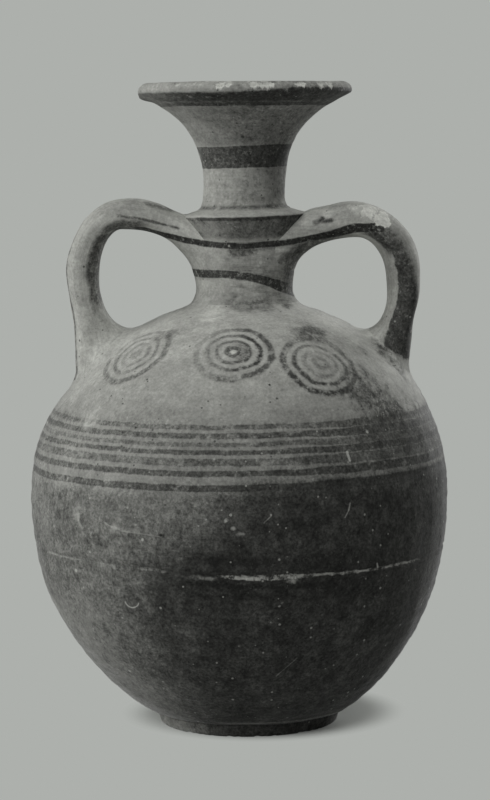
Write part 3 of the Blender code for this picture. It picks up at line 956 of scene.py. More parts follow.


# The belly's fire cloud and painted shade, seam and wear

BODY_ZONES = (
    # heights between which the clay changes, and what it changes to
    (0.148, 0.16, PALE_TOP),
    (0.142, 0.129, RINGED),
    (0.1075, 0.101, DULL),
)
SEAM_STRETCHES = (
    # bearings between which chalky clay is left in the seam, and how much
    (-1.16, -0.88, 0.52),
    (-0.5, -0.39, 0.62),
    (0.22, 1, 0.95),
    (-0.13, 0.26, 1),
)
BODY_STAINS = (
    # place, radius, raggedness, strength, squeeze
    ((0.022, -0.0369, 0.1611), 0.004, 0.8, 0.62),
    ((0.0272, -0.035, 0.1603), 0.0042, 0.8, 0.72),
    ((0.0256, -0.0315, 0.1622), 0.004, 0.9, 0.5),
    ((-0.0019, -0.0226, 0.1697), 0.0034, 0.8, 0.42, (0.7, 1, 0.9)),
    ((0.0065, -0.0212, 0.1703), 0.0032, 0.7, 0.44, (0.7, 1, 1)),
    ((0.0154, -0.008, 0.1722), 0.0013, 0.7, 0.75, (0.6, 0.4, 1)),
    ((0.0168, -0.014, 0.1705), 0.0013, 0.7, 0.7, (0.6, 0.4, 1)),
    ((0.0413, -0.0518, 0.141), 0.0065, 1, 0.5),
    ((0.0475, -0.048, 0.138), 0.0075, 1, 0.52, (1, 1, 0.9)),
    ((0.05, -0.048, 0.1325), 0.007, 1, 0.55, (1, 1, 0.9)),
    ((0.0534, -0.0132, 0.1518), 0.0032, 1, 0.8, (1.2, 0.8, 0.8)),
    ((0.0551, -0.0175, 0.149), 0.0032, 1, 0.75, (1.2, 0.8, 0.8)),
    ((0.0598, -0.012, 0.146), 0.0036, 1, 0.8, (1, 0.8, 1)),
    ((0.0619, -0.018, 0.142), 0.0028, 1, 0.6, (1.3, 0.8, 0.6)),
    ((0.0455, -0.029, 0.153), 0.002, 1, 0.5),
    ((-0.03, -0.033, 0.161), 0.003, 0.9, 0.5, (0.6, 1, 1)),
)
BARE_PATCHES = (
    # place, radius, raggedness, strength, squeeze
    ((-0.0125, -0.0225, 0.1695), 0.004, 0.8, 0.92, (1, 0.7, 1.4)),
    ((-0.0134, -0.03, 0.1668), 0.0028, 1, 0.95, (0.8, 1, 1.4)),
    ((-0.0046, -0.0526, 0.1557), 0.0013, 0.5, 1, (0.8, 1, 1)),
    ((-0.0023, -0.0626, 0.1469), 0.0013, 0.9, 0.8),
    ((0.0015, -0.0645, 0.1448), 0.0019, 0.9, 0.6),
    ((-0.0616, -0.0478, 0.1288), 0.0034, 1, 0.42, (1, 1, 0.7)),
    ((-0.059, -0.05, 0.131), 0.0022, 1, 0.36, (1, 1, 0.7)),
    ((-0.0655, -0.0571, 0.0935), 0.002, 1, 0.35, (1.4, 1, 0.6)),
    ((-0.0505, -0.0703, 0.09), 0.0016, 1, 0.4, (0.5, 1, 1.3)),
    ((-0.044, -0.0745, 0.0893), 0.0013, 1, 0.3, (0.5, 1, 1.4)),
    ((-0.008, -0.0848, 0.0942), 0.0007, 0.9, 0.7, (1, 1, 1.3)),
    ((-0.0053, -0.0849, 0.0915), 0.0007, 0.9, 0.6, (1, 1, 1.3)),
    ((-0.0023, -0.0849, 0.0892), 0.0008, 0.9, 0.5, (0.7, 1, 1.3)),
    ((-0.019, -0.0815, 0.0722), 0.0016, 1, 0.26, (0.5, 1, 2.2)),
    ((-0.015, -0.0822, 0.0718), 0.0012, 1, 0.3, (0.5, 1, 2.2)),
)
SCRATCHES = (
    # start and end in (x, z), half-width, strength
    ((0.0385, 0.1181), (0.0396, 0.1147), 0.0004, 0.85),
    ((0.05, 0.0742), (0.0503, 0.0724), 0.0003, 0.95),
    ((0.0394, 0.099), (0.0389, 0.0964), 0.00022, 0.55),
    ((0.0389, 0.0964), (0.0374, 0.0937), 0.00022, 0.55),
    ((0.0064, 0.0933), (0.0091, 0.0958), 0.00018, 0.4),
    ((-0.0652, 0.0939), (-0.0655, 0.0912), 0.00046, 0.4),
    ((-0.0655, 0.0912), (-0.064, 0.0882), 0.0004, 0.36),
    ((-0.0545, 0.0915), (-0.052, 0.0902), 0.00034, 0.46),
    ((-0.052, 0.0902), (-0.0492, 0.0896), 0.0005, 0.5),
    ((-0.048, 0.089), (-0.044, 0.0887), 0.00024, 0.4),
    ((-0.044, 0.0887), (-0.0324, 0.0876), 0.00022, 0.28),
    ((0.0106, 0.0305), (0.0187, 0.038), 0.00016, 0.3),
)
CRESCENT = (-0.0446, 0, 0.0612)  # middle of a curved scratch low on the left
CRESCENT_RADIUS = 0.0027
PITS = (
    # place, radius, raggedness, strength, squeeze
    ((-0.0328, -0.0794, 0.0883), 0.00058, 0.8, 1, (0.45, 1, 1)),
    ((-0.0425, -0.0651, 0.128), 0.00062, 0.6, 1, (0.6, 1, 1)),
    ((0.0092, -0.0644, 0.1439), 0.00042, 0.5, 1),
)
PIT_SHADE = 0.012


def fire_cloud_and_shade(clay):
    """Fire cloud and painted shade on the right: the edge runs down and to the left across the front.
    """
    climb = ((clay.z - 0.055) / 0.085).clamped()
    edge = climb ** 2 * 1.57 - 0.5
    bearing = clay.bearing + (clay.noise(19, 5, 0.6, shift=1.4) - 0.5)
    bearing = bearing + (clay.noise(85, 4, 0.65, shift=1.9) - 0.5) * 0.55
    dark = step(bearing - edge, -0.33, 0.33) * step(clay.bearing, 2.9, 2)
    top = clay.z + (clay.noise(60, 5, 0.7, shift=2.3) - 0.5) * 0.045 + clay.ragged * 0.02
    over_rings = 1 - band(clay.z, 0.1085, 0.1285, 0.001) * 0.56
    near_foot = 1 - step(clay.z, 0.014, 0.004) * 0.35
    thin = (1.2 - clay.noise(120, 4, 0.62, shift=0.3) * 0.55).clamped()
    return dark * step(top, 0.14, 0.122) * over_rings * near_foot * thin


def above_seam(clay):
    """Height over the wavering seam, which lies as seam_rise has it."""
    near = step(clay.bearing, *SEAM_RIGHT) * SEAM_RIGHT_SHARE
    far = step(clay.bearing, *SEAM_BACK) * (1 - SEAM_RIGHT_SHARE)
    rise = (step(clay.bearing, *SEAM_LEFT) + near + far) * SEAM_RISE
    return clay.z - (rise + (SEAM_HEIGHT - SEAM_DIP))


def chalky_seam(clay, height):
    """Pale broken clay in the seam: broad in front, thin to the right, in dashes elsewhere."""
    half_width = band(clay.bearing, -0.04, 0.26, 0.09) * 0.00056 + 0.00044
    gap = abs(height + clay.ragged * 0.0024) - half_width
    dashes = step(clay.noise(42, 3, 0.6, shift=2.1), 0.5, 0.56) * step(clay.y, 0, 0.01)
    crumbs = step(clay.noise(240, 5, 0.78, shift=0.75), 0.38, 0.57)
    stretches = [
        band(clay.bearing, start, end, 0.03) * strength for start, end, strength in SEAM_STRETCHES
    ]
    return step(gap, 0.0003, -0.0002) * either(dashes, *stretches) * crumbs


def seam_smoke(clay, height):
    """Dark smoke over and under the middle of the seam."""
    streak = band(height, 0.0036, 0.0082, 0.0018) * band(clay.bearing, -0.26, 0.16, 0.12)
    scorch = band(height, -0.0052, -0.0022, 0.0012) * band(clay.bearing, -0.24, 0.4, 0.08)
    around = band(height, -0.01, 0.0085, 0.003) * band(clay.bearing, -0.24, 0.6, 0.2)
    return either(either(streak, scorch) * (clay.ragged * 0.8 + 0.9), around * 0.55)


def body_ground(clay):
    """Bare clay: pale round the neck, duller between the rings and under them, and grimy; some painted
    light and shade.
    """
    edge = clay.z + (clay.noise(60, 5, 0.65, shift=1.1) - 0.5) * 0.01
    tone = PALE
    for start, end, shade in BODY_ZONES:
        tone = mix(step(edge, start, end), tone, shade)
    # painted light: the lower left of the belly is paler
    lit_low_left = band(clay.bearing, -2.4, -0.7, 0.25) * step(clay.z, 0.066, 0.048)
    tone = mix(lit_low_left, tone, LIT_LOW_LEFT)
    # painted shade: the clay between the rings at the far left is darkened
    shaded_far_left = band(clay.bearing, -2.2, -1.08, 0.22) * band(clay.z, 0.106, 0.13, 0.003)
    tone = weathered(clay, mix(shaded_far_left, tone, FAR_LEFT_SHADE))
    grime = step(clay.noise(170, 6, 0.72, shift=2.6), 0.5, 0.66)
    tone = mix(grime * step(clay.z, 0.112, 0.098) * 0.42, tone, CLOUD_AND_SHADE)
    spots = step(clay.noise(260, 5, 0.75, shift=3.6), 0.55, 0.68)
    tone = mix(spots * step(clay.z, 0.104, 0.112) * 0.22, tone, PEPPER)
    dusty = step(clay.y, -0.034, -0.014) * step(abs(clay.x), 0.018, 0.034)
    dusty = dusty * step(clay.z, 0.14, 0.152) * mix(step(clay.x, -0.01, 0.01), 0.3, 0.8)
    tone = mix(dusty, tone, DUST)
    # painted rim light along the shoulder's right edge
    lit_right_edge = band(clay.bearing, 0.95, 2.2, 0.25) * step(edge, 0.12, 0.134)
    tone = mix(lit_right_edge * 0.55, tone, PAINTED_RIM_LIGHT)
    smooth = clay.blotch((-0.043, -0.0735, 0.0975), 0.015, 0.3, (0.55, 0.6, 1.7))
    return mix(smooth * 0.45, tone, WORN_SMOOTH)


def scratched(clay, tone):
    """Straight and curved scratches down to the pale clay."""
    for start, end, half_width, strength in SCRATCHES:
        tone = mix(clay.stroke(start, end, half_width) * strength, tone, SCRAPED)
    bow = clay.vector("DISTANCE", clay.flat, CRESCENT) - CRESCENT_RADIUS
    crescent = line(bow, 0.0002, 0.0002) * step(clay.z, 0.061, 0.0604) * clay.front
    return mix(crescent * 0.85, tone, SCRAPED)


def body_wear(clay, tone, height):
    """Stains, bare patches, the chalky seam, scuffs, scratches and pits."""
    tone = spotted(clay, tone, BODY_STAINS, STAIN)
    grains = step(clay.noise(430, 4, 0.75, shift=0.6), 0.53, 0.62)
    grains = grains * band(clay.bearing, 0.72, 1.3, 0.12) * band(clay.z, 0.129, 0.144, 0.004)
    tone = mix(grains * 0.48, tone, PALE_GRAINS)
    tone = spotted(clay, tone, BARE_PATCHES, BARE)
    lump = clay.blotch((0.0172, -0.0804, 0.0703), 0.0009, 0.8, (0.6, 1, 1))
    tone = mix(either(chalky_seam(clay, height), lump * 0.8), tone, CHALK)
    scuffs = step(clay.noise(70, 6, 0.8, stretch=(1, 1, 1.7), shift=3.1), 0.6, 0.74)
    scuffs = scuffs * step(clay.z, 0.106, 0.09) * step(clay.z, 0.03, 0.055)
    tone = mix(scuffs * 0.34, tone, SCUFFED)
    foot_line = band(clay.z + clay.ragged * 0.0012, 0.0064, 0.0071, 0.00025)
    tone = mix(foot_line * band(clay.bearing, -0.25, 1.35, 0.15) * 0.55, tone, FOOT_RUB)
    return spotted(clay, scratched(clay, tone), PITS, PIT_SHADE)


def body_clay(name):
    """The belly: pale above the rings, duller below, with circles, a fire cloud with painted shade and
    a chalky seam.
    """
    clay = Clay(name)
    paint = either(belly_rings(clay), circle_sets(clay))
    tone = painted(clay, body_ground(clay), paint)
    # the dark right side is partly a fire cloud and partly painted shade
    tone = mix(fire_cloud_and_shade(clay), tone, CLOUD_AND_SHADE)
    height = above_seam(clay)
    tone = mix(seam_smoke(clay, height), tone, SCORCH)
    clay.shader.inputs["Sheen Weight"].default_value = BLOOM
    clay.shader.inputs["Sheen Roughness"].default_value = 0.25
    return finished(clay, body_wear(clay, tone, height), paint)


# The neck's, mouth's and handles' paint, and painted light and shade

LEFT_CLIMB = 4
RIGHT_CLIMB = 3.3
NECK_ZONES = (
    # heights between which the clay changes, and what it changes to
    (0.183, 0.18, 0.39),
    (0.179, 0.174, 0.31),
)
NECK_STAINS = (
    # place, radius, raggedness, strength, squeeze
    ((-0.0019, -0.0212, 0.1715), 0.003, 0.7, 0.45, (0.7, 1, 1)),
    ((0.0065, -0.02, 0.1722), 0.003, 0.7, 0.45, (0.7, 1, 1)),
)
CREASE_HEIGHT = 0.2103  # of the joint between the ridge and the funnel
RIDGE_ARRIS = (0.2053, 0.2067)
NECK_BAND = (0.2259, 0.2347)
RIM_BAND = (0.2503, 0.2557)
WALL_PICK = 8  # every eighth point of the funnel's wall is enough for its curve
COMBING = math.radians(21)  # slope of the comb's marks at the right handle's root
LEFT_STROKES = (
    # start and end in (x, z), half-width, softness
    ((-0.04, 0.2122), (-0.031, 0.2098), 0.0006, 0.0009),
    ((-0.031, 0.2098), (-0.0232, 0.2083), 0.00066, 0.0007),
    ((-0.0505, 0.2074), (-0.0415, 0.206), 0.00052, 0.0004),
    ((-0.0415, 0.206), (-0.034, 0.2041), 0.00056, 0.0004),
    ((-0.034, 0.2041), (-0.0262, 0.202), 0.0004, 0.0004),
)
RIGHT_STROKES = (
    ((0.0285, 0.2036), (0.0315, 0.205), 0.001, 0.0007),
    ((0.0315, 0.204), (0.035, 0.2046), 0.0008, 0.0007),
)
FLAKED = (
    # place, radius, raggedness, squeeze
    ((0.05, -0.008, 0.2073), 0.0028, 0.6, (0.75, 0.3, 0.9)),
    ((0.0543, -0.008, 0.2052), 0.0024, 0.7, (0.7, 0.3, 1)),
    ((0.057, -0.008, 0.2036), 0.0019, 0.7, (0.75, 0.3, 0.8)),
)


def neck_lines(clay, climb):
    """The two lines painted by eye: one round the stem, one that runs on along the handles.

    climb is how fast the upper line rises with the square of x.
    """
    height = clay.z + clay.wander * 0.0014 + clay.ragged * 0.0006
    low_line = 0.1838 - (clay.x + 0.01).at_least(0) ** 2 * 8.5
    low_half = step(clay.x, 0, 0.02) * 0.0008 + 0.0016
    low = step(abs(height - low_line) - low_half, 0.0003, -0.0003)
    high_line = (abs(clay.x) ** 2 * climb + 0.1951).at_most(0.2015)
    high_half = step(clay.x, 0.026, 0.042) * 0.0008 + 0.0012
    high = step(abs(height - high_line) - high_half, 0.0003, -0.0003)
    return either(worn(low, 0.28, 0.48, 420, 0.35) * 0.96, worn(high, 0.2, 0.4, 300, 0.35))


def neck_clay(name):
    """The stem: a wavering line low down, the line that runs on from the handles, and painted shade in
    streaks on its right.
    """
    clay = Clay(name)
    tone = PALE
    for start, end, shade in NECK_ZONES:
        tone = mix(step(clay.z + clay.ragged * 0.004, start, end), tone, shade)
    tone = weathered(clay, tone)
    # streaks that darken only the stem's right half: brush marks and painted shade
    brush_streaks_and_shade = step(clay.noise(90, 5, 0.7, stretch=(1, 1, 5), shift=1.3), 0.44, 0.66)
    tone = mix(brush_streaks_and_shade * step(clay.x, -0.014, -0.001) * 0.66, tone, BRUSH_MARKS_AND_SHADE)
    smudges = clay.blotch((-0.007, -0.0195, 0.1762), 0.0034, 0.8, (0.8, 0.5, 1))
    tone = spotted(clay, mix(smudges * 0.3, tone, SMUDGE_AND_SHADE), NECK_STAINS, STAIN)
    smear = clay.blotch((-0.001, -0.0198, 0.1934), 0.0023, 0.8, (0.55, 0.5, 1.1))
    edge = step(clay.x, 0.0125, 0.0175) * step(clay.z, 0.176, 0.18) * 0.75
    paint = either(neck_lines(clay, LEFT_CLIMB), smear * 0.78, edge)
    return finished(clay, painted(clay, tone, paint), paint)


def ridge_clay(name):
    """The ridge: a painted highlight on top, painted shade under its edge and a thin painted shadow
    line at the edge.
    """
    clay = Clay(name)
    height = clay.z - clay.x * RIDGE_TILT + clay.wander * 0.0012
    # painted shade on the cone under the ridge's edge, deepening from left to right
    under = step(height, 0.1968, 0.1992) * step(height, 0.2068, 0.2063)
    left, middle, right = RIDGE_UNDERSIDE_SHADE
    underside_shade = mix(step(clay.x, -0.014, 0), left, middle)
    underside_shade = mix(step(clay.x, 0.006, 0.022), underside_shade, right)
    tone = weathered(clay, mix(under, RIDGE_TOP, underside_shade))
    # darker blots within that painted shade
    blots = step(clay.noise(190, 5, 0.75, shift=2.9), 0.5, 0.62)
    tone = mix(blots * under * 0.45, tone, BLOTTED)
    # a thin painted shadow just under the ridge's edge
    edge_shadow_line = worn(band(height, *RIDGE_ARRIS, 0.0003), 0.34, 0.54, 160, 0.95)
    paint = either(edge_shadow_line * 0.8, neck_lines(clay, LEFT_CLIMB))
    return finished(clay, painted(clay, tone, paint), paint)


def funnel_middle(clay):
    """Radius at each height of the middle of the funnel's wall, as a shader curve."""
    wall = [(r, h) for r, h in inset(funnel_side(), FUNNEL_WALL / 2) if h < TOTAL_HEIGHT]
    low, high = NECK_JOINT - SOCKET_DEPTH, TOTAL_HEIGHT
    node = clay.node("ShaderNodeFloatCurve", keyed=(("Value", (clay.z - low) / (high - low)),))
    curve = node.mapping.curves[0]
    curve.points[0].location = (0, SOCKET_RADIUS / LIP_RADIUS)
    curve.points[1].location = (1, (LIP_RADIUS - 0.004) / LIP_RADIUS)
    for radius, height in wall[::WALL_PICK]:
        curve.points.new((height - low) / (high - low), radius / LIP_RADIUS)
    node.mapping.update()
    return Field(clay, node.outputs[0]) * LIP_RADIUS


def funnel_ground(clay, height):
    """The mouth's clay: dirty with painted shade at the stem's right, a dark wash on the bell, paler
    lip, painted shade to the right.
    """
    # dirty clay and painted shade at the right of the upper stem
    dirt_and_shade = step(clay.x + clay.wander * 0.03, 0.001, 0.014) * step(clay.z, 0.2105, 0.215)
    stem = mix(dirt_and_shade * 0.62, STEM, SMUDGE_AND_SHADE)
    # painted shade: the right side of the bell and the lip is darker
    to_right = step(clay.x, -0.02, 0.004)
    bell = mix(step(height, 0.233, 0.237), stem, mix(to_right, *WASHED_AND_SHADED))
    face = mix(step(clay.x, 0.004, 0.02), *LIP_FACE)
    tone = weathered(clay, mix(step(height, 0.2555, 0.2565), bell, face))
    wheel = clay.noise(42, 4, 0.65, stretch=(1, 1, 16), shift=1.2) - 0.5
    tone = tone * (wheel * 0.45 + 1)
    freckled = step(clay.noise(420, 4, 0.7, shift=1.6), 0.5, 0.62)
    return mix(freckled * to_right * 0.45, tone, FRECKLED)


def funnel_paint(clay, height):
    """A band round the neck, another under the lip and a thin line in the crease, all outside."""
    radius = (clay.x ** 2 + clay.y ** 2) ** 0.5
    outside = step(radius - funnel_middle(clay), -0.0002, 0.0002)
    neck_band = band(height - clay.x * 0.022, *NECK_BAND, 0.0002)
    neck_band = neck_band * mix(step(clay.x, -0.01, 0.006), 0.84, 0.93)
    low, high = RIM_BAND
    rim_top = step(clay.x, -0.004, 0.026) * 0.0017 + high
    rim_band = step(height + clay.ragged * 0.0012 - rim_top, 0.0004, -0.0004)
    thinner = 1 - band(height, 0.2517, 0.2524, 0.0003) * 0.22
    rim_band = rim_band * step(height, low, low + 0.0003) * thinner
    rim_band = worn(rim_band, 0.26, 0.46, 300, 0.55) * mix(step(clay.x, -0.04, -0.018), 0.36, 0.92)
    crease = line(clay.z - clay.x * 0.02 - CREASE_HEIGHT, 0.0007, 0.0006) * 0.6
    return either(worn(neck_band, 0.24, 0.44), rim_band, worn(crease, 0.3, 0.5)) * outside


def funnel_clay(name):
    """The mouth: two dark bands, a speckled wash between them and a chipped pale lip."""
    clay = Clay(name)
    height = clay.z + clay.wander * 0.0009 + clay.ragged * 0.0007
    paint = funnel_paint(clay, height)
    tone = painted(clay, funnel_ground(clay, height), paint)
    crumbled = clay.noise(620, 3, 0.7, stretch=(1.3, 1.3, 0.5), shift=0.85) - 0.5
    chipped = clay.attribute("chip")
    chip = step(chipped + crumbled * 2.4, 0.26, 0.58) * step(chipped, 0.02, 0.1)
    rubbed = step(clay.z, 0.2574, 0.2586) * step(clay.noise(260, 5, 0.75, shift=0.05), 0.54, 0.6)
    tone = mix(either(chip * 0.95, rubbed * 0.5), tone, CHIPPED_CLAY)
    return finished(clay, tone, paint)


def left_handle(clay, tone, lines, turn, ragged_turn):
    """A dark lower edge, partly paint and partly painted shade, thin strokes on top and a paler foot.
    """
    outward = abs(clay.x)
    # paint along the lower edge, with painted shade where the edge turns from the light
    edge_paint_and_shade = step(ragged_turn, 1.68, 1.98) * step(outward, 0.036, 0.044)
    edge_paint_and_shade = edge_paint_and_shade * step(clay.z + clay.ragged * 0.02, 0.163, 0.177)
    rim = line(turn - 0.4, 0.16, 0.08) * step(clay.z, 0.206, 0.192)
    strokes = either(*(clay.stroke(*stroke) for stroke in LEFT_STROKES))
    patch = clay.blotch((-0.05, -0.008, 0.212), 0.006, 0.5, (0.6, 0.4, 1.6))
    marks = either(edge_paint_and_shade * 0.78, rim * 0.78, strokes * 0.82, patch * 0.28)
    pale = clay.blotch((-0.055, -0.01, 0.159), 0.011, 0.4) * 0.16
    return tone, lines * step(outward, 0.048, 0.043), marks, pale


def right_handle_paint_and_shade(clay, ragged_turn):
    """The right handle's dark front of paint and painted shade, a stripe of paint and painted shade
    under its crown, and a smudge near the neck.
    """
    outward = abs(clay.x)
    outer_limit = mix(step(clay.z, 0.166, 0.19), 0.25, 1.15)
    # the front turns away from the light: dark paint with painted shade over it
    front = step(ragged_turn - outer_limit, -0.25, 0.3) * step(ragged_turn, 2, 1.88)
    fading = step(clay.z + (clay.noise(190, 5, 0.75) - 0.5) * 0.03, 0.214, 0.196)
    fading = fading * step(outward, 0.05, 0.055)
    foot_edge = 0.1835 - outward * 0.55
    front_paint_and_shade = step(clay.z + clay.ragged * 0.004 - foot_edge, 0, 0.0012)
    front_paint_and_shade = front * fading * front_paint_and_shade * mix(step(clay.z, 0.188, 0.202), 0.92, 0.72)
    smudge = either(*(clay.stroke(*stroke) for stroke in RIGHT_STROKES))
    # paint and painted shade on the underside under the crown
    under = band(ragged_turn, 1.75, 2.35, 0.12) * band(outward, 0.048, 0.062, 0.003)
    stripe = worn(under * step(clay.z, 0.188, 0.194), 0.2, 0.42, 260, 0.65)
    return either(front_paint_and_shade, either(stripe, smudge) * 0.9)


def right_handle(clay, tone, lines, turn, ragged_turn):
    """A dark front, flaked places on the crown, painted shade in the crease at the root and combed
    clay at the root.
    """
    outward = abs(clay.x)
    lines = lines * step(outward + clay.ragged * 0.008, 0.061, 0.055)
    lines = either(lines, right_handle_paint_and_shade(clay, ragged_turn))
    # painted shade in the crease where the root meets the neck
    root_crease_shade = step(ragged_turn, 1.75, 2.05) * step(outward, 0.048, 0.032)
    patch = clay.blotch((0.043, -0.009, 0.2085), 0.0045, 0.9, (0.7, 0.3, 1.4))
    flaked = either(*(clay.blotch(*spot) for spot in FLAKED))
    pale = either(
        step(flaked, 0.35, 0.65),
        clay.blotch((0.0455, -0.008, 0.2092), 0.0022, 0.9, (0.75, 0.3, 1)) * 0.5,
        clay.blotch((0.0255, -0.01, 0.204), 0.0038, 0.4, (1, 0.3, 1)) * 0.25,
    )
    combed = clay.noise(420, 3, 0.6, stretch=(0.1, 0.1, 1), shift=0.4, turn=COMBING) - 0.5
    near_root = clay.blotch((0.02, -0.015, 0.2), 0.013, 0.3)
    tone = tone * (combed * (near_root * 2.2) + 1)
    return tone, lines, either(root_crease_shade * 0.7, patch * 0.35), pale


def handle_clay(name, side):
    """A handle: streaky pulled clay, the neck's line running out along it, marks and wear."""
    clay = Clay(name)
    along = clay.attribute("along")
    turn = clay.attribute("round")
    ragged_turn = turn + clay.wander * 0.4 + clay.ragged * 0.26
    pulled = clay.field("ShaderNodeCombineXYZ", along * 45, turn * 12)
    fibres = clay.field("ShaderNodeTexNoise", pulled, keyed=(("Scale", 1), ("Detail", 5)))
    crown = step(clay.z, 0.192, 0.202) * step(abs(clay.x), 0.062, 0.05)
    tone = weathered(clay, mix(crown, HANDLE_SIDES, HANDLE_CROWN)) * (fibres * 0.6 + 0.7)
    climb, own_marks = (LEFT_CLIMB, left_handle) if side < 0 else (RIGHT_CLIMB, right_handle)
    lines = neck_lines(clay, climb) * step(clay.y, 0.008, 0.004)
    tone, lines, marks, pale = own_marks(clay, tone, lines, turn, ragged_turn)
    # the marks and lines include painted shade on the handles' edges, the right front and the right
    # root
    paint = either(lines, worn(marks, 0.27, 0.52, 260, 0.65))
    tone = mix(pale, painted(clay, tone, paint), FLAKED_CLAY)
    return finished(clay, tone, paint)


# The jug's pieces

PROFILE_GROOVES = (
    # height, depth, half-width
    (SEAM_HEIGHT, SEAM_GROOVE, SEAM_HALF_WIDTH),
    (CREASE_HEIGHT, JOINT_GROOVE, 0.0006),
    (FOOT_HEIGHT, 0.0004, 0.0007),
)
FOOT_WEAR = 0.00012
FOOT_EDGE_HEIGHT = 0.0004
FOOT_EDGE_WIDTH = 0.003
PULLED = (0.001, 0.008)  # distances from the vessel between which a handle's own marks set in
CHIPS = [(math.radians(180), 0.011, 0.002, 0)]  # angle, size, depth and paleness of each
CHIPPED = (
    # from and to, in degrees round the lip, and how many chips
    (-105, -96, 5),
    (-87, -74, 8),
    (-63, -54, 5),
    (-46, -38, 2),
    (0, 175, 14),
)
for start, stop, count in CHIPPED:
    for _ in range(count):
        angle = math.radians(RANDOM.uniform(start, stop))
        CHIPS.append((angle, RANDOM.uniform(0.001, 0.0025), RANDOM.uniform(0.0003, 0.0007), 1))


def carve(points, pushes):
    """The vessel's own unevenness and its turned grooves, moved along the pushes."""
    depth = clay_relief(points)
    for height, groove, half_width in PROFILE_GROOVES:
        depth = depth - groove * np.exp(-((points[:, 2] - height) / half_width) ** 2)
    carved = points + pushes * depth[:, None]
    angle = np.arctan2(points[:, 1], points[:, 0])
    radius = np.hypot(points[:, 0], points[:, 1])
    worn_edge = (points[:, 2] < FOOT_EDGE_HEIGHT) & (radius > FOOT_RADIUS - FOOT_EDGE_WIDTH)
    nicks = sum(np.sin(count * angle + count) for count in (9, 14, 23, 37, 61))
    carved[:, 2] += worn_edge * FOOT_WEAR * np.clip(nicks, 0, None)
    return carved


def chip_lip(points):
    """Knock chips out of the lip's upper edge, and rub one side of it down."""
    moved = points.copy()
    chip = np.zeros(len(points))
    reach = LIP_RADIUS - LIP_CORNER
    for angle, size, depth, paleness in CHIPS:
        spot = np.array([reach * math.cos(angle), reach * math.sin(angle), TOTAL_HEIGHT - 0.0006])
        near, crumbs = (
            smoothstep(np.linalg.norm((points - spot) * (1, 1, squeeze), axis=1), size, size * 0.3)
            for squeeze in (1.1, 0.55)
        )
        moved[:, 2] -= near * depth
        moved[:, :2] *= (1 - near * depth / LIP_RADIUS * 0.6)[:, None]
        chip = np.maximum(chip, crumbs * paleness)
    return moved, chip


def vessel_pieces():
    """Name, outline, node, slot and material of each turned piece."""
    body = body_clay("painted_body_clay")
    neck = neck_clay("painted_neck_clay")
    ridge = ridge_clay("dark_ridge_clay")
    mouth = funnel_clay("painted_mouth_clay")
    return (
        ("foot_ring_clay", foot_outline(), "foot_ring", "foot_clay", body),
        ("bowl_clay_wall", bowl_outline(), "body_lower", "bowl_clay", body),
        ("shoulder_clay_wall", shoulder_outline(), "body_upper", "shoulder_clay", body),
        ("neck_stem_clay", stem_outline(), "neck_stem", "neck_clay", neck),
        ("neck_ridge_clay", ridge_outline(), "neck_ridge", "ridge_clay", ridge),
        ("mouth_funnel_clay", funnel_outline(), "mouth_funnel", "mouth_clay", mouth),
    )


def make_vessel(handle_trees):
    for name, outline, node, slot, material in vessel_pieces():
        points, faces, pushes = turned(outline)
        extra = {}
        if node in ("body_upper", "neck_stem", "neck_ridge"):
            gap, _ = vessel_distance(points)
            skin = (np.abs(gap) < SKIN_DEPTH) & (points[:, 2] > LUTED_ABOVE)
            skin &= np.abs(points[:, 0]) > LUTED_BESIDE
            for tree in handle_trees:
                points[skin] = lute(points[skin], vessel_distance, partial(tree_distance, tree))
        points = carve(points, pushes)
        if node == "mouth_funnel":
            points, extra["chip"] = chip_lip(points)
        if node in ("body_lower", "body_upper"):
            points = waver_seam(points)
        add_piece(name, lean(points), faces, material, node, slot, **extra)


def make_handle(side, label, points, faces, along, round_share, tree):
    """Lute a handle to the vessel and add the vessel's and its own unevenness."""
    moved = lute(points, partial(tree_distance, tree), vessel_distance)
    gap, normal = vessel_distance(moved)
    own_share = smoothstep(gap, *PULLED)[:, None]
    _, own_normal = tree_distance(tree, moved)
    relief = clay_relief(moved)[:, None] * normal * (1 - own_share)
    relief += pull_relief(moved)[:, None] * own_normal * own_share
    material = handle_clay(f"painted_{label}_handle_clay", side)
    rows = {"along": along, "round": round_share}
    moved = lean(moved + relief)
    add_piece(f"handle_{label}_clay", moved, faces, material, f"handle_{label}", "handle_clay", **rows)


def make_jug():
    straps = {"left": strap(-1), "right": strap(1)}
    trees = [
        BVHTree.FromPolygons([Vector(point) for point in points], faces)
        for points, faces, _, _ in straps.values()
    ]
    make_vessel(trees)
    for side, (label, shape), tree in zip((-1, 1), straps.items(), trees):
        make_handle(side, label, *shape, tree)


# Camera, light and ground

CAMERA_PLACE = (-0.0003, -1.115, 0.244)
CAMERA_TILT = math.radians(5.76)
CAMERA_ROLL = math.radians(-0.6)
CAMERA_LENS = 123.9
SENSOR_WIDTH = 36
GROUND = (0.418, 0.434, 0.413, 1)  # the print's pale ground
WHITE = (1, 1, 1, 1)
LIT_MIDDLE = Vector((0, 0, 0.13))
LIGHTS = (
    # name, azimuth, elevation, distance, width, height, strength
    ("left_softbox", -92, 16, 1, 0.6, 0.5, 0.5),
    ("front_softbox", -40, 22, 1.1, 0.6, 0.5, 0.27),
    ("upper_left_softbox", -45, 60, 1.1, 0.8, 0.8, 0.34),
    ("upper_right_softbox", 60, 60, 1.1, 0.7, 0.7, 0.29),
    ("back_softbox", 142, 16, 1.1, 0.5, 0.5, 0.56),
)
AMBIENT = 0.035
FLOOR_RADIUS = 1.4
FLOOR_FADE = (0.042, 0.06)  # distances between which the floor turns into the plain ground
FLOOR_MIDDLE = (0.006, 0.014, 0)  # and the place they are measured from, where the shadow falls
FLOOR_VEIL = 0.1  # share of plain ground even in the middle of the shadow
FLOOR_SHADE = (0.48, 0.48, 0.48, 1)  # how pale the floor is to the light that it sends back
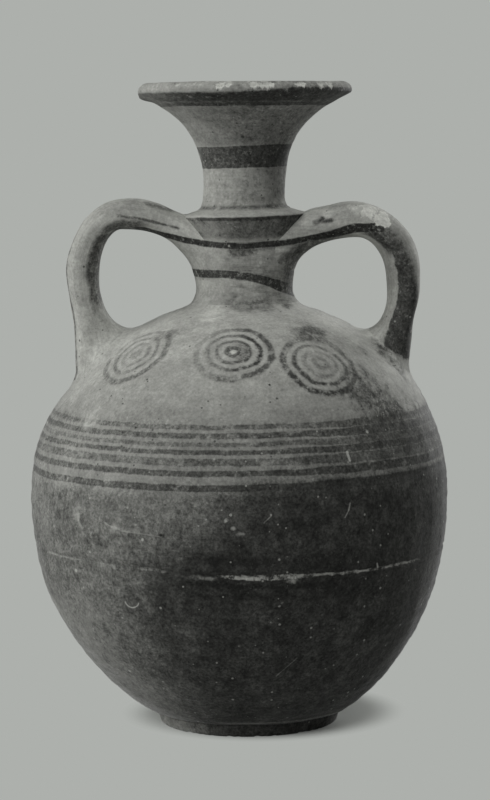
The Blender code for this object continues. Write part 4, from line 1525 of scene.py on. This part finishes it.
FLOOR_SEEN = (0.52, 0.54, 0.51, 1)  # and to the camera


def set_camera():
    camera = put("camera", bpy.data.cameras.new("camera"))
    camera.data.lens = CAMERA_LENS
    camera.data.sensor_width = SENSOR_WIDTH
    tilt = Matrix.Rotation(math.pi / 2 - CAMERA_TILT, 4, "X")
    roll = Matrix.Rotation(CAMERA_ROLL, 4, "Z")
    camera.matrix_world = Matrix.Translation(CAMERA_PLACE) @ tilt @ roll
    bpy.context.scene.camera = camera


def mix_seen(nodes, lit, seen):
    """One shader for the light that falls on the jug, another for rays that the camera follows."""
    rays = nodes.node("ShaderNodeLightPath").outputs
    followed = ("Is Camera Ray", "Is Glossy Ray", "Is Transmission Ray")
    share = either(*(Field(nodes, rays[key]) for key in followed))
    return nodes.field("ShaderNodeMixShader", share, lit, seen)


def set_light():
    """Soft lights whose strength is 1 where a colour facing them renders as it is written."""
    for name, azimuth, elevation, distance, width, height, strength in LIGHTS:
        turn, rise = math.radians(azimuth), math.radians(elevation)
        across = math.cos(rise)
        heading = Vector((math.sin(turn) * across, -math.cos(turn) * across, math.sin(rise)))
        lamp = bpy.data.lights.new(name, "AREA")
        lamp.shape = "RECTANGLE"
        lamp.size = width
        lamp.size_y = height
        lamp.energy = strength * math.pi ** 2 * distance ** 2
        holder = put(name, lamp)
        holder.location = LIT_MIDDLE + heading * distance
        holder.rotation_mode = "QUATERNION"
        holder.rotation_quaternion = heading.to_track_quat("Z", "Y")


def set_world():
    world = bpy.data.worlds.new("studio")
    bpy.context.scene.world = world
    world.use_nodes = True
    nodes = Nodes(world.node_tree)
    lit = nodes.field("ShaderNodeBackground", WHITE, AMBIENT)
    seen = nodes.field("ShaderNodeBackground", GROUND)
    nodes.fill(world.node_tree.nodes["World Output"].inputs[0], mix_seen(nodes, lit, seen))


def floor_material():
    """A pale floor that fades into the ground away from the jug's shadow."""
    material = bpy.data.materials.new("pale_floor")
    material.use_nodes = True
    nodes = Nodes(material.node_tree)
    dim = nodes.tree.nodes["Principled BSDF"]
    for key, value in (("Base Color", FLOOR_SHADE), ("Roughness", 1), ("Specular IOR Level", 0)):
        dim.inputs[key].default_value = value
    pale = nodes.field("ShaderNodeBsdfDiffuse", FLOOR_SEEN)
    plain = nodes.field("ShaderNodeEmission", GROUND)
    place = nodes.field("ShaderNodeTexCoord", output="Object")
    away = nodes.vector("DISTANCE", place, FLOOR_MIDDLE)
    fade = mix(step(away, *FLOOR_FADE), FLOOR_VEIL, 1)
    ground = nodes.field("ShaderNodeMixShader", fade, pale, plain)
    output = nodes.tree.nodes["Material Output"]
    nodes.fill(output.inputs[0], mix_seen(nodes, Field(nodes, dim.outputs[0]), ground))
    return material


def set_floor():
    bm = bmesh.new()
    bmesh.ops.create_circle(bm, cap_ends=True, segments=96, radius=FLOOR_RADIUS)
    mesh = bpy.data.meshes.new("floor")
    bm.to_mesh(mesh)
    bm.free()
    mesh.materials.append(floor_material())
    floor = put("floor", mesh)


make_jug()
set_camera()
set_light()
set_world()
set_floor()

bpy.context.scene.view_settings.view_transform = "Standard"
